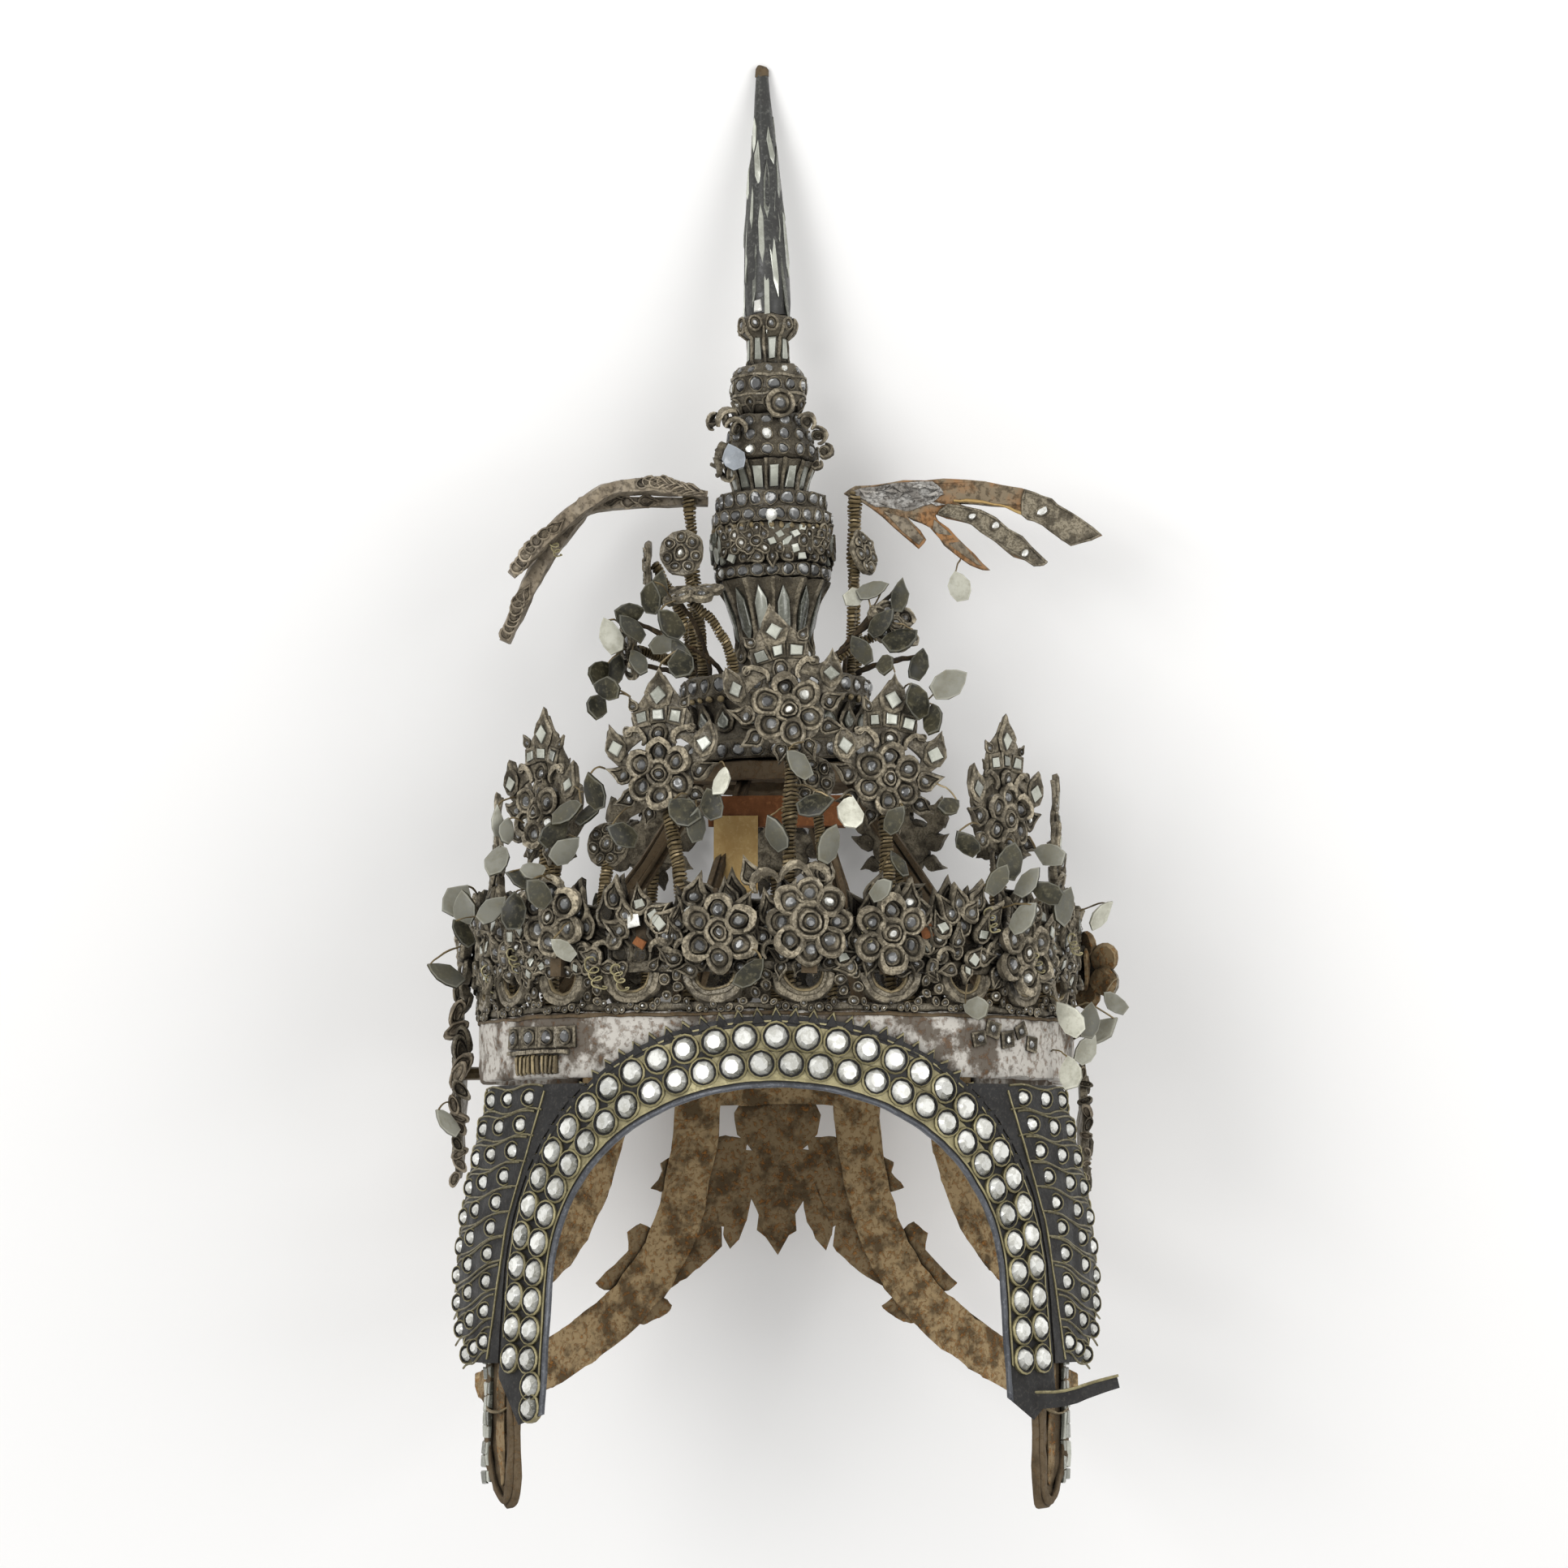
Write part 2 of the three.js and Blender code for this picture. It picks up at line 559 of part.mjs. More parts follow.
function crestBay(index, first, last) {
  const radius = CREST_INNER_RADIUS;
  const half = (Math.PI * radius) / CREST_BAYS;
  const left = index === first ? -half + GAP / 2 : -half;
  const right = index === last ? half - GAP / 2 : half;
  const outline = [
    [left, CREST_BOTTOM], [0, CREST_BOTTOM], [right, CREST_BOTTOM], [right, CREST_RAIL],
    [BUD.halfFoot, CREST_RAIL], [BUD.halfWidth, BUD.shoulder], [0, BUD.tip],
    [-BUD.halfWidth, BUD.shoulder], [-BUD.halfFoot, CREST_RAIL], [left, CREST_RAIL],
  ];
  const { halfWidth, top, shoulder, bottom } = SCROLL_HOLE;
  const hole = [
    [-halfWidth, top], [halfWidth, top], [halfWidth * 0.9, shoulder],
    [halfWidth * 0.35, bottom], [-halfWidth * 0.35, bottom], [-halfWidth * 0.9, shoulder],
  ];
  const flat = slab(outline, -CREST_THICKNESS, CREST_THICKNESS, [hole]);
  const bay = bent(withoutWalls(flat, [-half, half]), radius);
  return bay.rotateZ((CREST_PHASE + (360 / CREST_BAYS) * index) * DEGREE);
}

// Drops the triangles that lie in the planes where two bays meet.
function withoutWalls(geometry, planes) {
  const position = geometry.attributes.position;
  const kept = [];
  for (let i = 0; i < position.count; i += 3) {
    const xs = [0, 1, 2].map((k) => position.getX(i + k));
    const wall = planes.some((plane) => xs.every((x) => Math.abs(x - plane) < 1e-3));
    if (!wall) kept.push(...position.array.slice(3 * i, 3 * i + 9));
  }
  const open = new THREE.BufferGeometry();
  return open.setAttribute('position', new THREE.Float32BufferAttribute(kept, 3));
}

function crestHalf(name, first) {
  const last = first + CREST_BAYS / 2 - 1;
  const bays = [];
  for (let index = first; index <= last; index += 1) bays.push(crestBay(index, first, last));
  return piece(name, 'lacquer', mergeGeometries(bays));
}

// A ring of petals: notched where two petals meet, rounded at each tip.
function petalOutline(petals, radius) {
  const points = [];
  for (let i = 0; i < petals; i += 1) {
    const step = (2 * Math.PI) / petals;
    [[-0.3, 0.95], [0.3, 0.95], [0.5, 0.74]].forEach(([part, reach]) => {
      const angle = (i + part) * step + Math.PI / 2;
      points.push([radius * reach * Math.cos(angle), radius * reach * Math.sin(angle)]);
    });
  }
  return points;
}

function crestFlower({ angle, z, petals, radius }, index) {
  const back = -FLOWER_BACK_RADIUS;
  const outline = petalOutline(petals, radius).map(([x, height]) => [x, z + height]);
  const plate = slab(outline, back - FLOWER_THICKNESS, FLOWER_THICKNESS);
  const front = FLOWER_THICKNESS + FLOWER_BOSS;
  const boss = turned([[radius * 0.4, 1], [radius * 0.3, front]], 6).rotateX(Math.PI / 2);
  const seat = -(CREST_INNER_RADIUS + CREST_THICKNESS + GAP);
  const tabDepth = seat - back + 0.5;
  const tab = new THREE.BoxGeometry(TAB_WIDTH, tabDepth, z - TAB_FOOT);
  tab.translate(0, seat - tabDepth / 2, (z + TAB_FOOT) / 2);
  const mesh = piece(`crest_flower_${index + 1}`, 'lacquer', fuse([plate, boss.translate(0, back, z), tab]));
  mesh.rotation.z = angle * DEGREE;
  return mesh;
}

function palmettePlate() {
  const left = mirrored(PALMETTE_HALF);
  const outline = [[0, PALMETTE_FOOT], ...PALMETTE_HALF, [0, PALMETTE_TIP], ...left];
  const holes = [PALMETTE_HOLE, mirrored(PALMETTE_HOLE)];
  const plate = slab(outline, -PALMETTE_THICKNESS / 2, PALMETTE_THICKNESS, holes);
  const { radius, table, height, sides } = PALMETTE_BOSS;
  const rise = PALMETTE_THICKNESS / 2 + height;
  const boss = turned([[radius, 0], [table, rise]], sides).rotateX(Math.PI / 2);
  return geometryOf(fuse([plate, boss]));
}

function palmette({ angle, radius, z, roll, lean, turn, seat }, index) {
  const turns = new THREE.Euler(-lean * DEGREE, roll * DEGREE, turn * DEGREE, 'ZXY');
  const place = new THREE.Matrix4().makeRotationFromEuler(turns).setPosition(0, -radius, z);
  const plate = palmettePlate().applyMatrix4(place);
  const foot = onCircle(SPRING_SEAT_RADIUS, seat, BAND_HEIGHT + GAP);
  const top = new THREE.Vector3(0, SPRING_SETBACK, PALMETTE_FOOT + 6).applyMatrix4(place);
  const bend = new THREE.Vector3(foot.x, foot.y, (foot.z + top.z) / 2);
  const spring = rod(
    new THREE.QuadraticBezierCurve3(foot, bend, top), PALMETTE_SPRING_RADIUS, SPRING_SIDES, SPRING_STEPS,
  );
  const mesh = piece(`palmette_${index + 1}`, 'lacquer', fuse([plate, spring]));
  mesh.rotation.z = angle * DEGREE;
  return mesh;
}

function roofFrame() {
  const { inner, outer, bottom, top } = ROOF_RING;
  const ring = turned([[inner, bottom], [inner, top], [outer, top], [outer, bottom]], RAFTER_COUNT, true);
  const middle = (inner + outer) / 2;
  const rafters = Array.from({ length: RAFTER_COUNT }, (unused, i) => {
    const degrees = ((i + 0.5) * 360) / RAFTER_COUNT;
    const foot = onCircle(RAFTER_FOOT_RADIUS, degrees, BAND_HEIGHT + GAP + RAFTER_FOOT_RISE);
    const head = onCircle(middle, degrees, (bottom + top) / 2);
    return bar(foot.toArray(), head.toArray(), RAFTER_SIZE, RAFTER_SIZE);
  });
  const boards = ROOF_BOARDS.map(({ size, at }) => new THREE.BoxGeometry(...size).translate(...at));
  return piece('roof_frame', 'wood', fuse([ring, ...rafters, ...boards]));
}

function towerPiece({ name, sides, profile }) {
  return piece(name, name === 'spire' ? 'mirror' : 'lacquer', turned(profile, sides));
}

function rosette({ at, azimuth, rise, seat, onTower }, index) {
  const turns = new THREE.Euler(-rise * DEGREE, 0, azimuth * DEGREE, 'ZXY');
  const place = new THREE.Matrix4().makeRotationFromEuler(turns).setPosition(...at);
  const disc = turned(ROSETTE_PROFILE, ROSETTE_SIDES).rotateX(Math.PI / 2).applyMatrix4(place);
  const foot = onTower
    ? onCircle(SPRING_SEAT_TOWER.radius, seat, SPRING_SEAT_TOWER.z + GAP)
    : onCircle(SPRING_SEAT_RADIUS - 3, seat, BAND_HEIGHT + GAP);
  const top = new THREE.Vector3(0, SPRING_SETBACK / 2, 0).applyMatrix4(place);
  const bend = new THREE.Vector3(foot.x, foot.y, (foot.z + top.z) / 2);
  const spring = rod(
    new THREE.QuadraticBezierCurve3(foot, bend, top), ROSETTE_SPRING_RADIUS, SPRING_SIDES, SPRING_STEPS,
  );
  return piece(`rosette_${index + 1}`, 'lacquer', fuse([disc, spring]));
}

function wingSpring(seat, root) {
  const foot = onCircle(SPRING_SEAT_TOWER.radius, seat, SPRING_SEAT_TOWER.z + GAP);
  const top = new THREE.Vector3(...root);
  const bend = new THREE.Vector3(foot.x, foot.y, top.z - 20);
  const path = new THREE.QuadraticBezierCurve3(foot, bend, top);
  return rod(path, WING_SPRING_RADIUS, SPRING_SIDES, SPRING_STEPS);
}

function wingRight({ name, seat, root, back, outline }) {
  const plate = slab(outline, back, WING_THICKNESS);
  return piece(name, 'lacquer', fuse([plate, wingSpring(seat, root)]));
}

function wingLeft({ name, seat, root, thickness, feathers }) {
  const plates = feathers.map(({ front, depth, line }) => {
    const under = line.map(([x, z]) => [x + thickness * 0.4, z - thickness]);
    return slab([...line, ...under.reverse()], front, depth + 1);
  });
  return piece(name, 'lacquer', fuse([...plates, wingSpring(seat, root)]));
}

const crown = new THREE.Group();
crown.add(headband(), frontlet());
crown.add(sidePanel('side_panel_left', -1), sidePanel('side_panel_right', 1));
crown.add(...EAR_PLATES.map(earPlate));
crown.add(earBoard('ear_board_left', -1), earBoard('ear_board_right', 1));
crown.add(napeGuard());
crown.add(crestHalf('crest_front', -CREST_BAYS / 4 + 0.5), crestHalf('crest_back', CREST_BAYS / 4 + 0.5));
crown.add(...FLOWERS.map(crestFlower));
crown.add(...PALMETTES.map(palmette));
crown.add(roofFrame());
const rosettes = ROSETTES.map(rosette);
crown.add(...rosettes.filter((mesh, i) => !ROSETTES[i].onTower));

// What stands on the tower leans with it.
const tower = new THREE.Group();
tower.position.z = TOWER_SEAT;
tower.rotation.y = -TOWER_LEAN * DEGREE;
tower.add(...TOWER.map(towerPiece));
const perched = new THREE.Group();
perched.position.z = -TOWER_SEAT;
perched.add(...rosettes.filter((mesh, i) => ROSETTES[i].onTower));
perched.add(wingRight(WING_RIGHT), wingLeft(WING_LEFT));
tower.add(perched);
crown.add(tower);

// The crown rests on the spire's tip and on whatever at its back is reached first.
function restTilt(group) {
  group.updateMatrixWorld(true);
  const points = [];
  group.traverse((node) => {
    if (!node.isMesh) return;
    const position = node.geometry.attributes.position;
    for (let i = 0; i < position.count; i += 1) {
      const point = new THREE.Vector3().fromBufferAttribute(position, i);
      points.push(point.applyMatrix4(node.matrixWorld));
    }
  });
  const height = Math.max(...points.map((point) => point.z));
  const end = points.filter((point) => height - point.z < 1);
  const tip = end.reduce((low, point) => (point.y > low.y ? point : low));
  const slopes = points.filter((point) => tip.z - point.z > 50);
  return Math.max(...slopes.map((point) => Math.atan2(point.y - tip.y, tip.z - point.z)));
}

const lying = new THREE.Group();
const tilt = restTilt(crown);
lying.add(crown);
crown.rotation.x = -(Math.PI / 2 + tilt);
const box = new THREE.Box3().setFromObject(lying, true);
const middle = box.getCenter(new THREE.Vector3());
crown.position.set(-middle.x, -middle.y, -box.min.z);

export default lying;
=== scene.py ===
# %% [markdown]
# This lesson dresses a crown from Thai dance drama. Its solids come packed in one frame, in metres, and
# each step makes a visible piece that stands for one of them. The frame is loaded first, because every
# piece sits where its solid sits.

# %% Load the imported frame
import math
import random

import bmesh
import bpy
import numpy as np
from mathutils import Matrix, Vector


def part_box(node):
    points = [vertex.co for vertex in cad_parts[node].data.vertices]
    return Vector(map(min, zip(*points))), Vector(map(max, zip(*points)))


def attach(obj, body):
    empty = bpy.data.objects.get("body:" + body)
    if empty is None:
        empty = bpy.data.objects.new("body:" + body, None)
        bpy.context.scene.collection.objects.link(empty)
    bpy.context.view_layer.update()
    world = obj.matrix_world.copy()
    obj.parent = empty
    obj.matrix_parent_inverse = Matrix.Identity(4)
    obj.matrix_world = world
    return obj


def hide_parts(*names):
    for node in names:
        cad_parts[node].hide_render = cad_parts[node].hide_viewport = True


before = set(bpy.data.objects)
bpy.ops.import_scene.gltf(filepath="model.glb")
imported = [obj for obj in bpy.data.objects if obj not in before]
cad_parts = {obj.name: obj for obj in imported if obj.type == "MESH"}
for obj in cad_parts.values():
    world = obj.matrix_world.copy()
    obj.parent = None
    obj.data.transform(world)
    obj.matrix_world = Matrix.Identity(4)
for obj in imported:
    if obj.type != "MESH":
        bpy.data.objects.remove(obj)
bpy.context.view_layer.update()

# %% [markdown]
# The crown is worn upright but lies on its back here. Its tilt could be typed in as an angle, but the
# band's mesh holds it: a ring is thinnest along its axis. So pieces are modelled upright in millimetres, x
# to the viewer's right, y to the back of the head and z to the spire, and one matrix lays them down.

# %% The crown's own upright frame
MILLIMETRE = 0.001
RIM_DEPTH = 0.0001
ring = np.unique(np.round([v.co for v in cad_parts["headband"].data.vertices], 6), axis=0)
middle = ring.mean(0)
up = np.linalg.eigh(np.cov((ring - middle).T))[1][:, 0]
up *= np.sign(up @ (np.array(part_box("spire")[0]) - middle))
heights = ring @ up
rim_middle = ring[heights < heights.min() + RIM_DEPTH].mean(0)
right = np.array([1.0, 0.0, 0.0])
back = np.cross(up, right)
LAY_DOWN = Matrix.Identity(4)
for row in range(3):
    for column, axis in enumerate((right, back, up)):
        LAY_DOWN[row][column] = axis[row] * MILLIMETRE
    LAY_DOWN[row][3] = rim_middle[row]
print("axis tilts", round(math.degrees(math.asin(-up[2])), 2), "degrees to the table")

# %% [markdown]
# Old lacquer, gesso and iron never have one even colour. Painted pictures would have to be drawn for each
# piece, so one shader group makes masks from the object's own coordinates: patches, specks and streaks,
# and from ambient occlusion a mask of the crevices, where painted shade is laid, with soot. Every finish
# uses it with its own sizes.

# %% Shared weathering group
MASK_INPUTS = ("Patch Size", "Patch Edge", "Speck Size", "Seed")
MASKS = ("Patches", "Specks", "Streaks", "Shade And Soot")
NOISE_ROUGHNESS, PATCH_LEVEL = 0.64, 0.52
STREAK_STRETCH = (1.0, 0.12, 1.0)
CREVICE_REACH, CREVICE_SAMPLES = 0.006, 4
CREVICE_RAMP = {"From Min": 0.3, "From Max": 0.92, "To Min": 1.0, "To Max": 0.0}


def fill_inputs(tree, node, inputs):
    """Links each input to an output socket, or sets it to a value."""
    for name, given in inputs.items():
        if isinstance(given, bpy.types.NodeSocket):
            tree.links.new(given, node.inputs[name])
        else:
            node.inputs[name].default_value = given


def add_node(tree, kind, inputs, **settings):
    node = tree.nodes.new(kind)
    for name, value in settings.items():
        setattr(node, name, value)
    fill_inputs(tree, node, inputs)
    return node


def make_weathering():
    group = bpy.data.node_groups.new("weathering", "ShaderNodeTree")
    for way, names in (("INPUT", MASK_INPUTS), ("OUTPUT", MASKS)):
        for name in names:
            group.interface.new_socket(name, in_out=way, socket_type="NodeSocketFloat")
    given = group.nodes.new("NodeGroupInput").outputs
    place = group.nodes.new("ShaderNodeTexCoord").outputs["Object"]
    stretch = add_node(group, "ShaderNodeMapping", {"Vector": place, "Scale": STREAK_STRETCH})
    edge = {0: PATCH_LEVEL, 1: given["Patch Edge"]}
    ends = [add_node(group, "ShaderNodeMath", edge, operation=kind) for kind in ("SUBTRACT", "ADD")]
    rows = (  # size, coordinates, detail, noise where the mask starts and ends
        ("Patch Size", place, 8.0, [end.outputs[0] for end in ends]),
        ("Speck Size", place, 6.0, (0.52, 0.68)),
        ("Speck Size", stretch.outputs[0], 4.0, (0.45, 0.68)),
    )
    masks = []
    for size, where, detail, (start, end) in rows:
        inputs = {"Vector": where, "Scale": given[size], "W": given["Seed"], "Detail": detail}
        inputs["Roughness"] = NOISE_ROUGHNESS
        noise = add_node(group, "ShaderNodeTexNoise", inputs, noise_dimensions="4D")
        ramp = {"Value": noise.outputs[0], "From Min": start, "From Max": end}
        masks.append(add_node(group, "ShaderNodeMapRange", ramp).outputs[0])
    # The crevice mask is ambient occlusion: it paints shade into crevices, and stands for soot there too.
    reach = {"Distance": CREVICE_REACH}
    hollow = add_node(group, "ShaderNodeAmbientOcclusion", reach, samples=CREVICE_SAMPLES)
    shade_and_soot = add_node(group, "ShaderNodeMapRange", {"Value": hollow.outputs["AO"], **CREVICE_RAMP})
    add_node(group, "NodeGroupOutput", dict(zip(MASKS, [*masks, shade_and_soot.outputs[0]])))
    return group


WEATHERING = make_weathering()
print("weathering masks:", MASKS, "from", len(WEATHERING.nodes), "nodes")

# %% [markdown]
# A finish is a dark and a light colour, broken by patches, specks and streaks, then darkened in crevices by
# painted shade and soot. A material for each shade would mean hundreds, so each face carries a tone that
# runs its finish from dark to light: grooves go dark as painted shade, and the facets of one stone differ
# as painted reflections.

# %% How a finish is mixed
MIX_FACTOR, MIX_BELOW, MIX_ABOVE, MIX_RESULT = 0, 6, 7, 2
# Painted shade with soot: the colour that the crevice mask darkens towards.
SHADE_AND_SOOT = (20, 17, 13)
SEED_STEP, RELIEF_DEPTH, COAT_ROUGHNESS = 1.7, 0.0005, 0.08


def linear(r, g, b):
    """A colour seen on a screen, 0 to 255, as the linear values a shader needs."""
    parts = [c / 255 for c in (r, g, b)]
    return tuple(c / 12.92 if c < 0.04 else ((c + 0.055) / 1.055) ** 2.4 for c in parts) + (1.0,)


def mixed(tree, mask, below, above, most=1.0):
    """A colour that goes from below to above by a mask; below is a colour or an output socket."""
    if most < 1:
        mask = add_node(tree, "ShaderNodeMath", {0: mask, 1: most}, operation="MULTIPLY").outputs[0]
    inputs = {MIX_FACTOR: mask, MIX_BELOW: below, MIX_ABOVE: above}
    return add_node(tree, "ShaderNodeMix", inputs, data_type="RGBA").outputs[MIX_RESULT]


def weathered(name, dark, light, patch, speck, streak=None, amount=0.6, metallic=0.0, rough=(0.5, 0.8),
              sizes=(120, 900), bump=0.3, coat=0.0, shade_and_soot=0.8, shine=0.22, edge=0.08):
    """A finish that runs from dark to light by the tone, then is broken by the masks and painted shade."""
    made = bpy.data.materials.new(name)
    made.use_nodes = True
    tree = made.node_tree
    given = sizes[0], edge, sizes[1], len(bpy.data.materials) * SEED_STEP
    masks = add_node(tree, "ShaderNodeGroup", dict(zip(MASK_INPUTS, given)), node_tree=WEATHERING).outputs
    tone = add_node(tree, "ShaderNodeAttribute", {}, attribute_name="tone").outputs["Fac"]
    colour = mixed(tree, tone, linear(*dark), linear(*light))
    layers = (patch, amount), (speck, amount), (streak, amount), (SHADE_AND_SOOT, shade_and_soot)
    for mask, (above, most) in zip(MASKS, layers):
        if above and most:
            colour = mixed(tree, masks[mask], colour, linear(*above), most)
    dull = {"Value": masks["Patches"], "To Min": rough[0], "To Max": rough[1]}
    values = {"Base Color": colour, "Roughness": add_node(tree, "ShaderNodeMapRange", dull).outputs[0]}
    values.update({"Metallic": metallic, "Specular IOR Level": shine, "Coat Weight": coat})
    values["Coat Roughness"] = COAT_ROUGHNESS
    if bump:
        relief = {"Strength": bump, "Distance": RELIEF_DEPTH, "Height": masks["Specks"]}
        values["Normal"] = add_node(tree, "ShaderNodeBump", relief).outputs[0]
    fill_inputs(tree, tree.nodes["Principled BSDF"], values)
    return made


print("soot in linear light:", [round(part, 4) for part in linear(*SHADE_AND_SOOT)])

# %% [markdown]
# The photo shows gilt lacquer gone grey-brown under dust, mirror and foiled glass, greenish brass, black
# plate, chalky gesso, rusty sheet, several woods and dark resin. Colours are written as they look on a
# screen, so they compare with the photo, in the order dark, light, patch, speck and streak.

# %% The finishes
LACQUER = weathered("aged_lacquer", (30, 26, 19), (188, 176, 151), (46, 40, 30), (174, 160, 134),
    amount=0.75, rough=(0.38, 0.75), sizes=(230, 1300), bump=1.0, coat=0.06, shade_and_soot=0.95, edge=0.06)
GILT = weathered("worn_gilt", (50, 42, 28), (190, 170, 126), (66, 56, 40), (172, 152, 112), metallic=0.2,
    rough=(0.35, 0.6), sizes=(200, 1200), bump=0.6, shade_and_soot=0.9, shine=0.4)
# Painted reflections: the patches and specks of the foil glass paint its sparkle, the light colour of the
# dark stones serves their painted glint, and the tone of a mirror tile is its painted reflection.
GLASS = weathered("foil_glass", (84, 84, 76), (252, 252, 246), (140, 137, 122), (236, 236, 228),
    amount=0.45, metallic=0.1, rough=(0.1, 0.25), sizes=(330, 1500), bump=0, coat=0.5, shade_and_soot=0.25,
    shine=0.5, edge=0.04)
DARK = weathered("dark_stone", (20, 20, 22), (226, 227, 224), (44, 43, 44), (80, 80, 80), amount=0.4,
    rough=(0.1, 0.3), bump=0, coat=0.6, shade_and_soot=0.4, shine=0.5)
MIRROR = weathered("mirror_tile", (60, 62, 54), (214, 216, 202), (96, 96, 82), (200, 202, 190),
    amount=0.45, metallic=0.1, rough=(0.15, 0.4), bump=0, coat=0.3, shade_and_soot=0.5, shine=0.5)
TIN = weathered("leaf_tin", (30, 29, 20), (234, 233, 216), (92, 86, 62), (132, 126, 100), amount=0.36,
    rough=(0.35, 0.6), sizes=(140, 700), bump=0.1, shade_and_soot=0.4)
BRASS = weathered("dull_brass", (74, 68, 46), (200, 189, 142), (88, 80, 56), (190, 180, 142), metallic=0.3,
    rough=(0.4, 0.6), shine=0.4)
PLATE = weathered("black_plate", (16, 16, 17), (56, 55, 54), (40, 39, 38), (84, 80, 74), amount=0.5,
    rough=(0.45, 0.75))
RIM = weathered("rim_wire", (30, 31, 34), (110, 113, 119), (46, 47, 50), (134, 137, 142), amount=0.5,
    metallic=0.3, rough=(0.35, 0.55), shine=0.4)
GESSO = weathered("gesso", (140, 134, 124), (226, 222, 214), (74, 62, 48), (120, 88, 58), amount=0.85,
    rough=(0.8, 0.95), sizes=(48, 420), bump=0.9, edge=0.03)
RUST = weathered("rusty_sheet", (84, 70, 50), (190, 164, 122), (62, 49, 33), (190, 128, 60), amount=0.78,
    rough=(0.65, 0.9), sizes=(130, 620), bump=1.0, edge=0.06)
WOOD = weathered("bare_wood", (70, 40, 22), (166, 106, 62), (88, 54, 30), (160, 108, 66), (100, 60, 33),
    rough=(0.7, 0.85), sizes=(60, 600))
PALE_WOOD = weathered("pale_wood", (136, 108, 66), (218, 188, 126), (146, 114, 70), (204, 178, 126),
    (158, 126, 76), rough=(0.7, 0.85), sizes=(60, 600))
OLD_WOOD = weathered("old_wood", (30, 25, 18), (128, 109, 82), (46, 38, 28), (126, 97, 62), (100, 85, 64),
    rough=(0.6, 0.9), sizes=(90, 600), bump=0.7, shade_and_soot=0.9)
FEATHER = weathered("feather_lacquer", (46, 40, 30), (168, 150, 122), (156, 108, 62), (66, 56, 44),
    amount=0.75, sizes=(80, 420), bump=1.0)
ASH = weathered("ashy_gesso", (58, 54, 50), (164, 159, 151), (188, 186, 181), (66, 59, 51), amount=0.7,
    sizes=(170, 900), bump=0.8, edge=0.05)
DRIFTWOOD = weathered("grey_wood", (58, 52, 44), (196, 182, 159), (98, 86, 70), (66, 58, 49),
    (160, 147, 124), amount=0.7, sizes=(90, 520), bump=0.9)
WIRE = weathered("spring_wire", (50, 42, 28), (166, 146, 106), (62, 52, 36), (150, 131, 93), metallic=0.4,
    rough=(0.35, 0.55), bump=0, shine=0.4)
BLUE_GLASS = weathered("grey_mirror", (86, 92, 98), (176, 182, 188), (110, 114, 118), (160, 164, 168),
    amount=0.5, rough=(0.2, 0.4), sizes=(220, 900), bump=0, coat=0.3, shine=0.5)
RESIN = weathered("black_resin", (30, 30, 29), (92, 93, 88), (40, 38, 36), (112, 112, 104), amount=0.5,
    rough=(0.3, 0.6), sizes=(110, 700), shine=0.45)
print("materials, with those of the packed frame:", len(bpy.data.materials))

# %% [markdown]
# A shape is corners and faces, with a tone for each face. Blender's modelling tools could build each form,
# but lists of corners are quicker to repeat and bend and come out the same each time. Two patterns of faces
# serve nearly all: a grid, and a tube closed at both ends.

# %% Shapes
class Shape:
    def __init__(self, verts, faces, tone=0.5):
        self.verts = np.asarray(verts, float).reshape(-1, 3)
        self.faces = faces
        self.tone = np.broadcast_to(np.asarray(tone, float), len(faces))

    def moved(self, place):
        m = np.array(place)
        return Shape(self.verts @ m[:3, :3].T + m[:3, 3], self.faces, self.tone)

    def mapped(self, bend):
        return Shape(bend(self.verts), self.faces, self.tone)

    def toned(self, tone):
        return Shape(self.verts, self.faces, tone)

    def mesh(self, name):
        made = bpy.data.meshes.new(name)
        made.from_pydata(self.verts.tolist(), [], self.faces)
        return made


def joined(shapes):
    faces, start = [], 0
    for shape in shapes:
        faces += [tuple(i + start for i in face) for face in shape.faces]
        start += len(shape.verts)
    return Shape(np.vstack([s.verts for s in shapes]), faces, np.concatenate([s.tone for s in shapes]))


def grid_faces(rows, columns, wrap_rows=False, wrap_columns=False):
    faces = []
    for r in range(rows if wrap_rows else rows - 1):
        for c in range(columns if wrap_columns else columns - 1):
            r2, c2 = (r + 1) % rows, (c + 1) % columns
            faces.append((r * columns + c, r * columns + c2, r2 * columns + c2, r2 * columns + c))
    return faces


def capped(rows, columns):
    """Faces of a tube of rows, each a closed ring of corners, with both ends closed."""
    ends = [tuple(range(columns))[::-1], tuple(range((rows - 1) * columns, rows * columns))]
    return grid_faces(rows, columns, wrap_columns=True) + ends


print("a tube of 2 rings with 6 corners each has", len(capped(2, 6)), "faces")

# %% [markdown]
# The band, the tower and the bosses are turned on a lathe, and wires and rails are a section carried along
# a path. Screw modifiers and bevelled curves could do it, but these two functions also give flutes,
# tapering ends and a tone to each face.

# %% Turned and swept bodies
def turned(profile, sides, wave=None, closed=False):
    """A body of revolution about z. wave(angle, z) multiplies the radius, for flutes."""
    angles = np.linspace(0, 2 * math.pi, sides, endpoint=False)
    verts = []
    for radius, z in profile:
        reach = radius * (np.array([wave(a, z) for a in angles]) if wave else np.ones(sides))
        verts.append(np.stack([reach * np.sin(angles), -reach * np.cos(angles), np.full(sides, z)], 1))
    rows = len(profile)
    return Shape(np.vstack(verts), grid_faces(rows, sides, True, True) if closed else capped(rows, sides))


